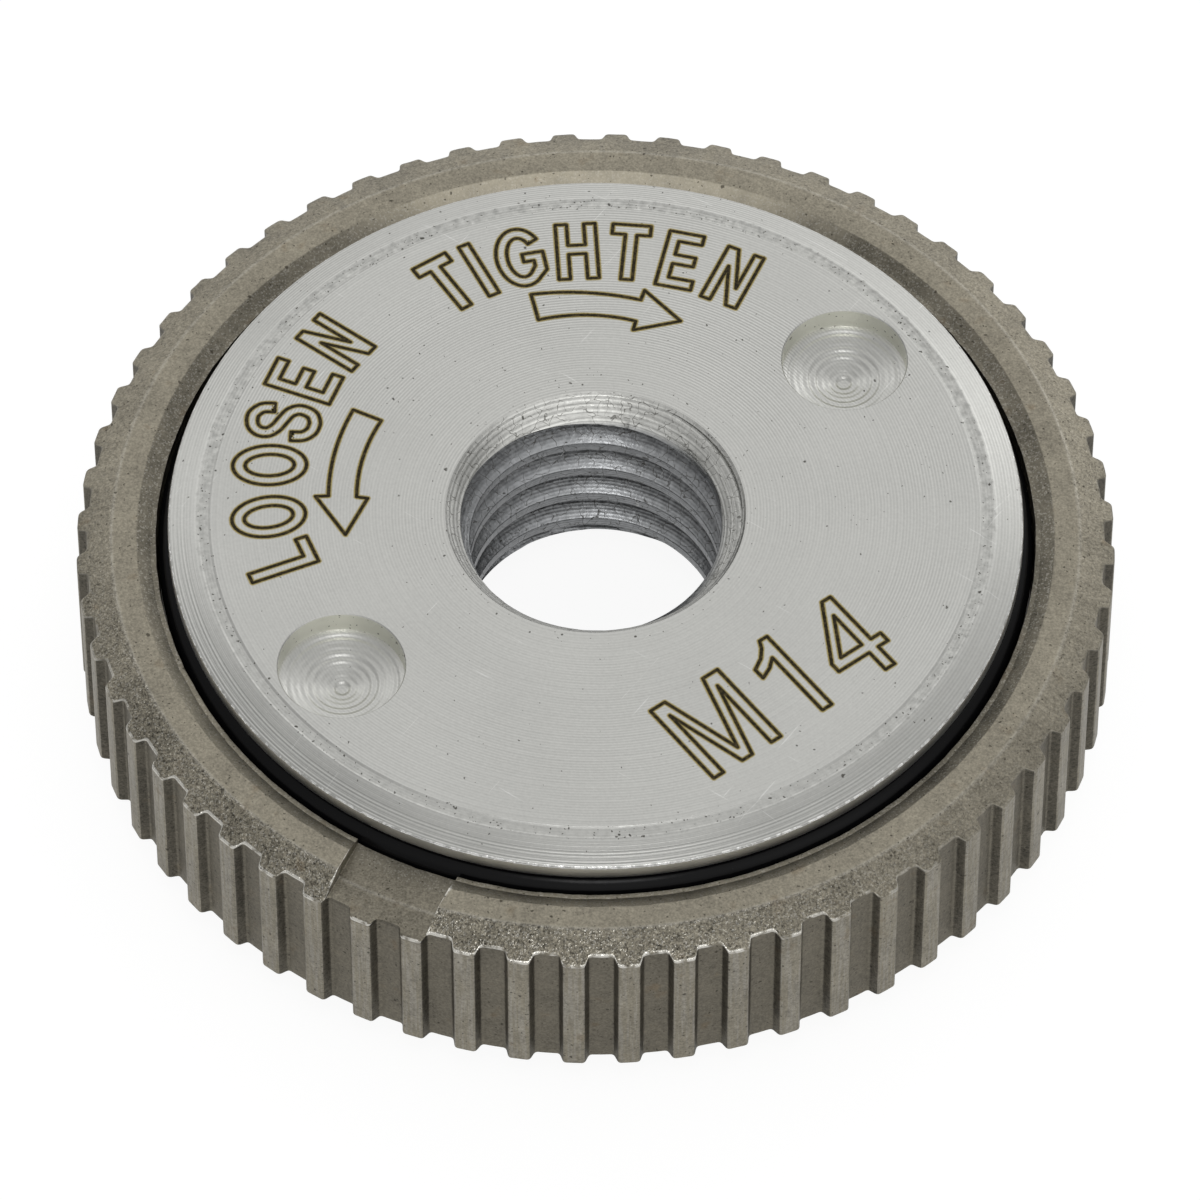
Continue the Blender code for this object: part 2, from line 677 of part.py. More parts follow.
def snap_ring_outline():
    """An external retaining ring, widest opposite its gap, with a round lug on each side of it."""
    gap = SNAP_RING_GAP_ANGLE / 2
    lug_radius_at = snap_inner_radius + SNAP_LUG_RADIUS
    lug_angle = gap + math.degrees(math.asin(SNAP_LUG_RADIUS / lug_radius_at))
    body_angle = 2 * lug_angle - gap
    flats_clear = math.cos(math.radians(180.0 / SNAP_STEPS))
    points = arc((0, 0), snap_inner_radius / flats_clear, gap, 360 - gap, SNAP_STEPS)
    last_lug = at(lug_radius_at, 360 - lug_angle).xy
    points += arc(last_lug, SNAP_LUG_RADIUS, 450 - lug_angle, 270 - lug_angle, LUG_STEPS)
    sweep = 360 - 2 * body_angle
    for step in range(1, SNAP_STEPS):
        azimuth = 360 - body_angle - sweep * step / SNAP_STEPS
        growth = (1 - math.cos(math.radians(azimuth))) / 2
        width = SNAP_LUG_RADIUS + (SNAP_RING_WIDTH - SNAP_LUG_RADIUS) * growth
        points.append(tuple(at(snap_inner_radius + width, azimuth).xy))
    first_lug = at(lug_radius_at, lug_angle).xy
    points += arc(first_lug, SNAP_LUG_RADIUS, lug_angle + 90, lug_angle - 90, LUG_STEPS)
    return points, (first_lug, last_lug)


def make_snap_ring(material, parent):
    outline, lugs = snap_ring_outline()
    bm = bmesh.new()
    add_prism(bm, outline, snap_ring_bottom, snap_ring_top)
    ring = new_object("snap_ring", bm, material, parent)
    holes = bmesh.new()
    for lug in lugs:
        bottom = snap_ring_bottom - CUT_MARGIN
        top = snap_ring_top + CUT_MARGIN
        add_cylinder(holes, lug, SNAP_LUG_HOLE_RADIUS, bottom, top, PIN_FACETS)
    cut(ring, as_cutter("lug_hole_cutter", holes))


def make_seal(name, radius, height, section, material, parent):
    """A round rubber ring."""
    profile = arc((radius, height), section / 2, 0, 360, SEAL_SECTION_FACETS)[:-1]
    seal = new_object(name, turned(profile, SEAL_FACETS), material, parent)
    seal.data.shade_smooth()


def make_rim_seal(material, parent):
    make_seal("rim_seal", rim_seal_radius, rim_seal_height, RIM_SEAL_SECTION, material, parent)


def make_flange_seal(material, parent):
    section = FLANGE_SEAL_SECTION
    make_seal("flange_seal", flange_seal_radius, flange_seal_height, section, material, parent)


def axis_empty(name):
    """The turning and sliding axis of a group of pieces."""
    empty = bpy.data.objects.new(name, None)
    empty.empty_display_size = ring_outer_radius
    bpy.context.scene.collection.objects.link(empty)
    return empty


def clear_scene():
    for obj in list(bpy.data.objects):
        bpy.data.objects.remove(obj, do_unlink=True)


def main():
    clear_scene()
    hub_axis = axis_empty("hub_axis")
    ring_axis = axis_empty("ring_axis")
    flange_axis = axis_empty("flange_axis")
    ring_axis.parent = hub_axis
    flange_axis.parent = hub_axis

    machined = finish("machined_steel", (0.50, 0.50, 0.47), 0.34)
    sintered = finish("sintered_steel", (0.27, 0.25, 0.20), 0.52)
    hardened = finish("hardened_steel", (0.42, 0.42, 0.41), 0.30)
    polished = finish("ball_steel", (0.62, 0.62, 0.62), 0.10)
    spring_steel = finish("spring_steel", (0.16, 0.16, 0.17), 0.38)
    rubber = finish("black_rubber", (0.012, 0.012, 0.012), 0.42, 0.0)

    make_threaded_hub(machined, hub_axis)
    make_drive_pins(hardened, hub_axis)
    make_snap_ring(spring_steel, hub_axis)
    make_lift_spring(spring_steel, hub_axis)
    make_return_spring(spring_steel, hub_axis)
    make_rim_seal(rubber, hub_axis)
    make_grip_ring(sintered, ring_axis)
    make_balls(polished, ring_axis)
    make_thrust_flange(hardened, flange_axis)
    make_flange_seal(rubber, flange_axis)


main()
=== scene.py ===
import math

import bmesh
import bpy
import numpy as np
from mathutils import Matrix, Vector, noise


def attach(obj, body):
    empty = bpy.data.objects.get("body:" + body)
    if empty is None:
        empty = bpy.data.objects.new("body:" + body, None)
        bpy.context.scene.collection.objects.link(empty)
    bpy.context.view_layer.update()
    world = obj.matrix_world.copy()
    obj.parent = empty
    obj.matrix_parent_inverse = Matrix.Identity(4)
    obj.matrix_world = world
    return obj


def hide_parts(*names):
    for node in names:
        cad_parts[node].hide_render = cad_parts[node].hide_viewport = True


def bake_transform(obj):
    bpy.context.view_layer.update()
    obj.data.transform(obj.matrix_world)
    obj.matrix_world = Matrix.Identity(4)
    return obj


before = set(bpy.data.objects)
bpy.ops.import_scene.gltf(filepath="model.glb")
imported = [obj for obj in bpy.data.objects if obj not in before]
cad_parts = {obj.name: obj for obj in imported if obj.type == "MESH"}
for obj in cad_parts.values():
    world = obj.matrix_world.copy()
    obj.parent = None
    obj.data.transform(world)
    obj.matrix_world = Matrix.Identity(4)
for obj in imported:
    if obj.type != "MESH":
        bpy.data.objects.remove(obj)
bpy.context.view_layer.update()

mm = 0.001                       # shapes are worked out in millimetres and become metres in makePiece
mergeDistance = 0.0001 * mm
sharpAngle = math.radians(32)


# points and outlines

def polar(radius, degrees, height=0.0):
    turn = math.radians(degrees)
    return np.array((radius * math.cos(turn), radius * math.sin(turn), height))


def ovalPoints(centre, across, up, start, end, steps):
    turns = np.radians(np.linspace(start, end, steps + 1))
    return [(centre[0] + across * math.cos(t), centre[1] + up * math.sin(t)) for t in turns]


def arcPoints(centre, radius, start, end, steps):
    return ovalPoints(centre, radius, radius, start, end, steps)


def rotated(x, y, turn):
    return x * math.cos(turn) - y * math.sin(turn), x * math.sin(turn) + y * math.cos(turn)


def softCorners(corners, closed=False, steps=3):
    # each corner is (x, y, rounding), and its rounding becomes a small arc
    points = []
    count = len(corners)
    for i, (x, y, rounding) in enumerate(corners):
        if rounding <= 0 or (not closed and i in (0, count - 1)):
            points.append((x, y))
            continue
        corner = np.array((x, y), float)
        before = np.array(corners[i - 1][:2]) - corner
        after = np.array(corners[(i + 1) % count][:2]) - corner
        beforeLength, afterLength = np.linalg.norm(before), np.linalg.norm(after)
        before, after = before / beforeLength, after / afterLength
        half = math.acos(float(np.clip(before @ after, -1, 1))) / 2
        if half > math.radians(89):
            points.append((x, y))
            continue
        reach = min(rounding / math.tan(half), beforeLength * 0.48, afterLength * 0.48)
        radius = reach * math.tan(half)
        bisector = (before + after) / np.linalg.norm(before + after)
        middle = corner + bisector * radius / math.sin(half)
        first, last = corner + before * reach - middle, corner + after * reach - middle
        start = math.atan2(first[1], first[0])
        sweep = (math.atan2(last[1], last[0]) - start + math.pi) % math.tau - math.pi
        for step in range(steps + 1):
            turn = start + sweep * step / steps
            points.append((middle[0] + radius * math.cos(turn), middle[1] + radius * math.sin(turn)))
    return points


def curvedLine(points, steps=6):
    # a smooth line through the points
    line = []
    for i in range(len(points) - 1):
        a, b, c, d = (np.array(points[min(max(i + k, 0), len(points) - 1)]) for k in (-1, 0, 1, 2))
        for step in range(steps):
            t = step / steps
            line.append(0.5 * (2 * b + (c - a) * t + (2 * a - 5 * b + 4 * c - d) * t * t
                               + (3 * b - a - 3 * c + d) * t ** 3))
    return line + [np.array(points[-1])]


# shapes are (points, faces) pairs

def gridShape(points, closeRows=False, closeColumns=False):
    rows, columns = points.shape[:2]
    index = np.arange(rows * columns).reshape(rows, columns)
    if closeRows:
        index = np.vstack([index, index[:1]])
    if closeColumns:
        index = np.hstack([index, index[:, :1]])
    faces = np.stack([index[:-1, :-1], index[:-1, 1:], index[1:, 1:], index[1:, :-1]], -1)
    return points.reshape(-1, 3), faces.reshape(-1, 4).tolist()


def turnedShape(profile, columns, closed=True):
    # a half section of (radius, height) points, turned about Z
    profile = np.array(profile, float)
    turns = np.linspace(0, math.tau, columns, endpoint=False)
    radius, height = profile[:, :1], profile[:, 1:]
    points = np.stack([radius * np.cos(turns), radius * np.sin(turns), height + 0 * turns], -1)
    return gridShape(points, closeRows=closed, closeColumns=True)


def movedShape(shape, offset):
    return shape[0] + np.array(offset), shape[1]


def prismFaces(count):
    sides = [[i, (i + 1) % count, count + (i + 1) % count, count + i] for i in range(count)]
    return [list(range(count))[::-1], list(range(count, 2 * count))] + sides


def prismShape(outline, bottom, top):
    points = np.array([(x, y, z) for z in (bottom, top) for x, y in outline], float)
    return points, prismFaces(len(outline))


def rodShape(centre, radius, bottom, top, sides):
    return prismShape(arcPoints(centre, radius, 0, 360, sides)[:-1], bottom, top)


def smoothShading(mesh):
    mesh.shade_smooth()
    mesh.set_sharp_from_angle(angle=sharpAngle)


def addObject(name, data):
    thing = bpy.data.objects.new(name, data)
    bpy.context.scene.collection.objects.link(thing)
    return thing


def makePiece(name, shapes, material=None, smooth=True):
    points, faces, count = [], [], 0
    for shapePoints, shapeFaces in shapes:
        points.append(shapePoints * mm)
        faces += [[count + i for i in face] for face in shapeFaces]
        count += len(shapePoints)
    mesh = bpy.data.meshes.new(name)
    mesh.from_pydata(np.vstack(points).tolist(), [], faces)
    bm = bmesh.new()
    bm.from_mesh(mesh)
    bmesh.ops.remove_doubles(bm, verts=bm.verts, dist=mergeDistance)
    bmesh.ops.dissolve_degenerate(bm, edges=bm.edges, dist=mergeDistance)
    bmesh.ops.recalc_face_normals(bm, faces=bm.faces)
    bm.to_mesh(mesh)
    bm.free()
    if smooth:
        smoothShading(mesh)
    if material:
        mesh.materials.append(material)
    return addObject(name, mesh)


def settle(piece):
    # the modifiers' result as a plain mesh, in a new object of the same name
    name = piece.name
    bpy.context.view_layer.update()
    depsgraph = bpy.context.evaluated_depsgraph_get()
    mesh = bpy.data.meshes.new_from_object(
        piece.evaluated_get(depsgraph), preserve_all_data_layers=True, depsgraph=depsgraph)
    bpy.data.objects.remove(piece, do_unlink=True)
    mesh.name = name
    return addObject(name, mesh)


def polish(piece):
    # keeps broad faces flat in the shading, so that only the small roundings curve
    smoothShading(piece.data)
    weighted = piece.modifiers.new("weightedNormals", "WEIGHTED_NORMAL")
    weighted.keep_sharp = True
    weighted.weight = 100
    return settle(piece)


def carve(piece, cutterShapes):
    # takes each cutter's space out of the piece
    cutter = makePiece(piece.name + "Cutter", cutterShapes, smooth=False)
    boolean = piece.modifiers.new("carve", "BOOLEAN")
    boolean.operation = "DIFFERENCE"
    boolean.solver = "EXACT"
    boolean.object = cutter
    carved = settle(piece)
    bpy.data.objects.remove(cutter, do_unlink=True)
    return carved


# geometry node trees, with their inputs set by identifier

def newTree(name, inputs):
    tree = bpy.data.node_groups.new(name, "GeometryNodeTree")
    tree.interface.new_socket("Geometry", in_out="INPUT", socket_type="NodeSocketGeometry")
    for label, kind in inputs:
        tree.interface.new_socket(label, in_out="INPUT", socket_type="NodeSocket" + kind)
    tree.interface.new_socket("Geometry", in_out="OUTPUT", socket_type="NodeSocketGeometry")
    return tree, tree.nodes.new("NodeGroupInput"), tree.nodes.new("NodeGroupOutput")


def wire(tree, *pairs):
    for source, target in pairs:
        tree.links.new(source, target)


def grow(piece, tree, values):
    modifier = piece.modifiers.new(tree.name, "NODES")
    modifier.node_group = tree
    for item in tree.interface.items_tree:
        if item.item_type == "SOCKET" and item.in_out == "INPUT" and item.name in values:
            modifier[item.identifier] = values[item.name]
    return settle(piece)


def makeRoundTree():
    # copies of one piece, evenly spaced round the spindle axis
    tree, given, out = newTree("repeatRound", [
        ("Copies", "Int"), ("First Angle", "Float"), ("Merge Distance", "Float"), ("Material", "Material")])
    points = tree.nodes.new("GeometryNodePoints")
    place = tree.nodes.new("GeometryNodeInstanceOnPoints")
    index = tree.nodes.new("GeometryNodeInputIndex")
    step, turn = tree.nodes.new("ShaderNodeMath"), tree.nodes.new("ShaderNodeMath")
    step.operation, turn.operation = "DIVIDE", "MULTIPLY_ADD"
    step.inputs[0].default_value = math.tau
    euler = tree.nodes.new("ShaderNodeCombineXYZ")
    rotation = tree.nodes.new("FunctionNodeEulerToRotation")
    realize = tree.nodes.new("GeometryNodeRealizeInstances")
    merge = tree.nodes.new("GeometryNodeMergeByDistance")
    paint = tree.nodes.new("GeometryNodeSetMaterial")
    wire(tree, (given.outputs["Copies"], points.inputs["Count"]), (given.outputs["Copies"], step.inputs[1]),
         (index.outputs[0], turn.inputs[0]), (step.outputs[0], turn.inputs[1]),
         (given.outputs["First Angle"], turn.inputs[2]), (turn.outputs[0], euler.inputs["Z"]),
         (euler.outputs[0], rotation.inputs[0]), (rotation.outputs[0], place.inputs["Rotation"]),
         (points.outputs[0], place.inputs["Points"]), (given.outputs["Geometry"], place.inputs["Instance"]),
         (place.outputs[0], realize.inputs[0]), (realize.outputs[0], merge.inputs["Geometry"]),
         (given.outputs["Merge Distance"], merge.inputs["Distance"]), (merge.outputs[0], paint.inputs["Geometry"]),
         (given.outputs["Material"], paint.inputs["Material"]), (paint.outputs[0], out.inputs[0]))
    return tree


def makeWireTree():
    # round wire along a curve
    tree, given, out = newTree("roundWire", [("Wire Radius", "Float"), ("Sides", "Int"), ("Material", "Material")])
    circle = tree.nodes.new("GeometryNodeCurvePrimitiveCircle")
    sweep = tree.nodes.new("GeometryNodeCurveToMesh")
    sweep.inputs["Fill Caps"].default_value = True
    paint = tree.nodes.new("GeometryNodeSetMaterial")
    wire(tree, (given.outputs["Sides"], circle.inputs["Resolution"]),
         (given.outputs["Wire Radius"], circle.inputs["Radius"]),
         (given.outputs["Geometry"], sweep.inputs["Curve"]), (circle.outputs[0], sweep.inputs["Profile Curve"]),
         (sweep.outputs[0], paint.inputs["Geometry"]), (given.outputs["Material"], paint.inputs["Material"]),
         (paint.outputs[0], out.inputs[0]))
    return tree


# materials; every pattern is worked out in millimetres from Object coordinates

class Field:
    # a shader node's output, on which arithmetic adds the math node for it

    def __init__(self, socket):
        self.socket = socket
        self.tree = socket.id_data

    def __add__(self, other):
        return calc("ADD", self, other)

    def __sub__(self, other):
        return calc("SUBTRACT", self, other)

    def __rsub__(self, other):
        return calc("SUBTRACT", other, self)

    def __mul__(self, other):
        return calc("MULTIPLY", self, other)

    def __truediv__(self, other):
        return calc("DIVIDE", self, other)

    __radd__, __rmul__ = __add__, __mul__


def addNode(tree, kind, inputs=None, **settings):
    node = tree.nodes.new("ShaderNode" + kind)
    for label, value in settings.items():
        setattr(node, label, value)
    for label, value in (inputs or {}).items():
        if isinstance(value, Field):
            tree.links.new(value.socket, node.inputs[label])
        else:
            node.inputs[label].default_value = value
    return node


def output(tree, kind, label, inputs=None, **settings):
    return Field(addNode(tree, kind, inputs, **settings).outputs[label])


def treeOf(values):
    return next(value.tree for value in values if isinstance(value, Field))


def calc(operation, *values):
    return output(treeOf(values), "Math", 0, dict(enumerate(values)), operation=operation)


def vectorMath(operation, *values, label="Vector"):
    return output(treeOf(values), "VectorMath", label, dict(enumerate(values)), operation=operation)


def larger(a, b):
    return calc("MAXIMUM", a, b)


def above(a, b):
    return calc("GREATER_THAN", a, b)


def towards(place, way):
    return vectorMath("DOT_PRODUCT", place, way, label="Value")


def fade(value, start, end, low=0.0, high=1.0):
    # low below start, high above end, and smooth between them
    limits = {"Value": value, "From Min": start, "From Max": end, "To Min": low, "To Max": high}
    return output(value.tree, "MapRange", 0, limits, interpolation_type="SMOOTHSTEP")


def band(value, low, high, soft):
    # 1 between low and high
    return fade(value, low - soft, low + soft) * fade(value, high - soft, high + soft, 1, 0)


def varied(value, amount):
    return (value - 0.5) * amount


def blendNumber(factor, under, over):
    return output(treeOf((factor, under, over)), "Mix", 0, {0: factor, 2: under, 3: over})


def blendColour(factor, under, over, kind="MIX"):
    under, over = (value if isinstance(value, Field) else (*value, 1.0) for value in (under, over))
    tree = treeOf((factor, under, over))
    return output(tree, "Mix", 2, {0: factor, 6: under, 7: over}, data_type="RGBA", blend_type=kind)


def tinted(colour, tone):
    return blendColour(1.0, colour, output(tone.tree, "CombineColor", 0, {0: tone, 1: tone, 2: tone}), "MULTIPLY")


def parts(value, kind="XYZ"):
    node = addNode(value.tree, "Separate" + kind, {0: value})
    return [Field(part) for part in node.outputs]


def cloudy(place, scale, detail=2.0, roughness=0.5):
    return output(place.tree, "TexNoise", "Fac", {
        "Vector": place, "Scale": scale, "Detail": detail, "Roughness": roughness})


def lineNoise(along, scale, detail):
    return output(along.tree, "TexNoise", "Fac", {"W": along, "Scale": scale, "Detail": detail}, noise_dimensions="1D")


def shifted(place, offset):
    return vectorMath("ADD", place, offset)


def ragged(place, scale, reach):
    # the place, moved a little this way and that, so that round spots become uneven
    wander = output(place.tree, "TexNoise", "Color", {"Vector": place, "Scale": scale, "Detail": 1.0})
    return vectorMath("MULTIPLY_ADD", vectorMath("SUBTRACT", wander, (0.5, 0.5, 0.5)), (reach, reach, reach), place)


def specks(place, cells, size, share):
    # small round dots, cells of them to the millimetre, of which only a share show
    cell = addNode(place.tree, "TexVoronoi", {"Vector": place, "Scale": cells})
    chance, spread, _ = parts(Field(cell.outputs["Color"]), "Color")
    radius = above(share, chance) * (spread * (size * cells * 0.6) + size * cells * 0.4)
    return above(radius, 0.001) * fade(Field(cell.outputs["Distance"]) / larger(radius, 0.001), 0.6, 1.1, 1, 0)


def cracks(place, scale, width):
    cells = output(place.tree, "TexVoronoi", "Distance", {"Vector": place, "Scale": scale}, feature="DISTANCE_TO_EDGE")
    return fade(cells, width * scale * 0.4, width * scale, 1, 0)


def scratches(place, turn, share):
    rotated = output(place.tree, "VectorRotate", 0, {"Vector": place, "Angle": turn}, rotation_type="Z_AXIS")
    return fade(cloudy(vectorMath("MULTIPLY", rotated, (0.22, 7.0, 0.5)), 1.0, 1.0), share, share + 0.03)


def bumpy(relief, depth):
    return output(relief.tree, "Bump", 0, {"Strength": 1.0, "Distance": depth, "Height": relief})


def surfacePlace(tree):
    # Object coordinates in millimetres, the radius from the spindle axis, the height, and how level the surface is
    place = vectorMath("MULTIPLY", output(tree, "TexCoord", "Object"), (1000.0, 1000.0, 1000.0))
    radius = vectorMath("LENGTH", vectorMath("MULTIPLY", place, (1.0, 1.0, 0.0)), label="Value")
    level = calc("ABSOLUTE", parts(output(tree, "NewGeometry", "True Normal"))[2])
    return place, radius, parts(place)[2], level


def newMaterial(name):
    material = bpy.data.materials.new(name)
    material.use_nodes = True
    material.node_tree.nodes.clear()
    return material, material.node_tree


def finishMaterial(tree, inputs):
    addNode(tree, "OutputMaterial", {0: output(tree, "BsdfPrincipled", 0, inputs)})


frontWay = (-0.35, -0.94, 0.0)           # towards the side of the nut that faces the camera
turnedLook = {
    "colour": (0.545, 0.545, 0.52), "threadColour": (0.42, 0.43, 0.44), "paintedLightHoleWallColour": (0.93, 0.93, 0.84),
    "paintedLightRimWallColour": (0.94, 0.95, 0.95), "grooveColour": (0.42, 0.42, 0.40), "pitColour": (0.05, 0.045, 0.035),
    "scratchAndPaintedGlintColour": (0.92, 0.92, 0.90), "roughness": 0.35,
    "linePitch": 0.155, "lineTone": 0.17, "lineDepth": 0.0000034, "pitSize": 0.10,
    # where one finish gives way to another: radii and heights between which it fades
    "threadRadii": (6.9, 7.3), "threadHeights": (11.3, 11.7), "mouthRadii": (7.05, 7.2),
    "valleyShadeRadii": (6.08, 6.50), "valleyShadeEnds": (7.2, 7.4), "valleyShadeTop": (11.2, 11.6), "valleyShadeBottom": (2.7, 3.0),
    "grooveBand": (18.34, 18.94, 0.10), "grooveHeights": (12.4, 12.5),
    "holeBand": (11.5, 18.4, 0.3), "holeHeights": (11.2, 11.4), "bevelRadii": (19.0, 19.3),
    "rimRadii": (20.2, 20.3), "rimHeights": (11.3, 11.5), "rimLines": (18.9, 19.4),
    "paintedGlintBand": (20.27, 20.42, 0.02), "paintedGlintHeights": (12.08, 12.4, 0.03),
    "stainBand": (7.1, 7.9, 0.35), "stainHeights": (12.3, 12.5), "frontRim": (2.0, 14.0),
}


def turnedSteelPattern(tree):
    # the machined finish of the hub: turned lines, small pits, a speckled groove and a darker, crackled thread with
    # painted shade in its roots and on its crests; painted light on the spanner holes' walls, on the rim wall and on
    # the back of the countersink, and a painted glint along the rim edge
    look = turnedLook
    place, radius, height, level = surfacePlace(tree)
    forward = towards(place, frontWay)
    along = blendNumber(above(level, 0.6), height, radius)
    cloud = cloudy(place, 0.16, 3.0, 0.6)
    grain = cloudy(place, 6.5, 2.0, 0.6)
    mottle = cloudy(place, 3.2, 2.0, 0.6)
    # regular lines that come and go, and rougher scoring on the bevel at the front
    wave = calc("SINE", (along / look["linePitch"] + cloudy(place, 0.35, 1.0) * 0.6) * math.tau)
    uneven, scoring = lineNoise(along, 5.0, 3.0), lineNoise(along, 13.0, 1.0)
    bevel = fade(radius, *look["rimLines"]) * fade(forward, *look["frontRim"])
    patches = fade(cloudy(place, 0.12, 1.0), 0.35, 0.65, 0.35, 1.0) * fade(forward, -6.0, 6.0, 1.0, 0.35)
    lines = blendNumber(bevel, wave, varied(scoring, 5.0)) * (bevel * 0.8 + patches)
    # the parts of the hub
    thread = fade(radius, *look["threadRadii"], 1, 0) * fade(height, *look["threadHeights"], 1, 0)
    mouth = fade(radius, *look["mouthRadii"], 1, 0) * fade(height, *look["threadHeights"])
    bore = larger(thread, mouth)
    groove = band(radius + varied(mottle, 0.5), *look["grooveBand"]) * fade(height, *look["grooveHeights"])
    # painted shade deep in the thread, under each crest, where the crest above shades it
    paintedValleyShade = fade(radius, *look["valleyShadeRadii"]) * fade(radius, *look["valleyShadeEnds"], 1, 0)
    paintedValleyShade = paintedValleyShade * fade(height, *look["valleyShadeTop"], 1, 0) * fade(height, *look["valleyShadeBottom"])
    upright = fade(level, 0.2, 0.4, 1, 0)
    holeWall = upright * band(radius, *look["holeBand"]) * fade(height, *look["holeHeights"])
    rimWall = upright * fade(radius, *look["rimRadii"]) * fade(height, *look["rimHeights"])
    stained = larger(groove * fade(forward, *look["frontRim"], 1.0, 0.45), bore * 0.45)
    tone = (1.0 + lines * look["lineTone"] + varied(uneven, 0.10) + varied(cloud, 0.16) + varied(grain, 0.20)
            + varied(mottle, 1.3) * stained + paintedValleyShade * -0.44
            # painted shade on the thread's upright crests, and lighter painted shade on its up-facing flanks
            + thread * upright * -0.14 + thread * fade(level, 0.5, 0.7) * -0.16
            + fade(radius, *look["bevelRadii"]) * fade(level, 0.4, 0.6) * -0.08
            # the countersink's mouth has its own scoring, and a painted highlight towards the back
            + mouth * (varied(scoring, 1.1) + fade(forward, -5.0, -1.0, 0.18, 0.0)))
    steel = tinted(blendColour(thread, look["colour"], look["threadColour"]), tone)
    # painted light: the spanner holes' walls are brightened in their shade
    steel = blendColour(holeWall, steel, look["paintedLightHoleWallColour"])
    # painted light: the rim wall is brightened where the ring's lip shades it
    steel = blendColour(rimWall * 0.75, steel, look["paintedLightRimWallColour"])
    scored = larger(scratches(place, 0.6, 0.73), scratches(shifted(place, (9, 4, 0)), 2.2, 0.74))
    scored = scored * fade(cloudy(shifted(place, (20, 0, 0)), 0.3), 0.48, 0.60)
    steel = blendColour(scored * 0.30, steel, look["scratchAndPaintedGlintColour"])
    # pits, and hairlines in the bore
    uneasy = ragged(place, 5.0, 0.22)
    nearMouth = band(radius, *look["stainBand"]) * fade(height, *look["stainHeights"])
    share = (fade(forward, -6.0, 2.0, 0.012, 0.005) + groove * 0.20 + nearMouth * 0.07 + holeWall * 0.08
             + fade(cloudy(place, 0.22), 0.56, 0.74) * 0.034)
    pits = larger(specks(uneasy, 3.2, look["pitSize"], share),
                  specks(shifted(uneasy, (3.1, 7.7, 1.3)), 6.0, look["pitSize"] * 0.55, share * 2.0))
    hairlines = cracks(ragged(place, 2.0, 0.5), 1.7, 0.019) * bore * fade(mottle, 0.40, 0.54)
    pits = larger(pits, hairlines * 0.80)
    steel = blendColour(groove * 0.34, steel, look["grooveColour"])
    steel = blendColour(pits * 0.8, steel, look["pitColour"])
    # a painted glint along the rim edge, broken up by noise
    edge = band(radius, *look["paintedGlintBand"]) * band(height, *look["paintedGlintHeights"])
    edge = edge * fade(cloudy(place, 3.5, 2.0, 0.6), 0.40, 0.58)
    steel = blendColour(edge * 0.9, steel, look["scratchAndPaintedGlintColour"])
    relief = (lines * 0.6 + varied(uneven, 1.2) + varied(grain, 1.0) + edge * varied(mottle, 12.0)
              + varied(mottle, 9.0) * larger(groove * 0.35, bore * 0.8))
    rough = look["roughness"] + varied(cloud, 0.14) + groove * 0.10 + pits * 0.25 + edge * -0.14 + bore * -0.04
    metal = fade(mouth * fade(forward, -2.0, 4.0), 0, 1, 1.0, 0.2)
    return steel, rough, bumpy(relief, look["lineDepth"]), metal


def makeTurnedSteel():
    material, tree = newMaterial("turnedSteel")
    colour, rough, normal, metal = turnedSteelPattern(tree)
    finishMaterial(tree, {"Base Color": colour, "Roughness": rough, "Normal": normal, "Metallic": metal})
    return material


def makeLaserMark():
    # burnt line with a straw-coloured edge that fades into the steel
    material, tree = newMaterial("laserMark")
    colour, rough, normal, _ = turnedSteelPattern(tree)
    place = surfacePlace(tree)[0]
    across = calc("ABSOLUTE", output(tree, "Attribute", "Fac", attribute_name="across"))
    across = across + varied(cloudy(place, 9.0), 0.22)
    halo = blendColour(fade(across, 0.55, 0.95), (0.36, 0.29, 0.11), colour)
    burnt = blendColour(fade(cloudy(place, 6.0, 3.0), 0.40, 0.75), (0.016, 0.012, 0.004), (0.070, 0.052, 0.020))
    finishMaterial(tree, {
        "Base Color": blendColour(fade(across, 0.32, 0.56, 1, 0), halo, burnt), "Normal": normal,
        "Roughness": rough + fade(across, 0.4, 0.7, 0.2, 0), "Metallic": fade(across, 0.36, 0.62, 0.15, 1.0),
        "Specular IOR Level": 0.15})
    return material


sinteredLook = {
    "colour": (0.300, 0.275, 0.218), "dark": (0.165, 0.150, 0.118), "rubbed": (0.355, 0.333, 0.285),
    # edge is the colour of the painted glints, and of the rubbed edges with their painted highlight
    "stain": (0.17, 0.125, 0.075), "pore": (0.035, 0.030, 0.022), "edge": (0.80, 0.78, 0.72),
    "grainDepth": 0.000013, "roughness": 0.46,
    "wallRadii": (24.0, 24.2), "ribRadii": (24.36, 24.62), "topHeights": (9.9, 10.0), "bandRadii": (23.0, 23.09),
    "paintedRidgeBand": (22.99, 23.13, 0.09), "lipRadii": (21.81, 21.91), "lipHeights": (10.4, 10.6),
    "notchAngle": 245.1, "notchSides": (2.50, 2.58), "notchFloor": (10.3, 10.7, 0.04),
}


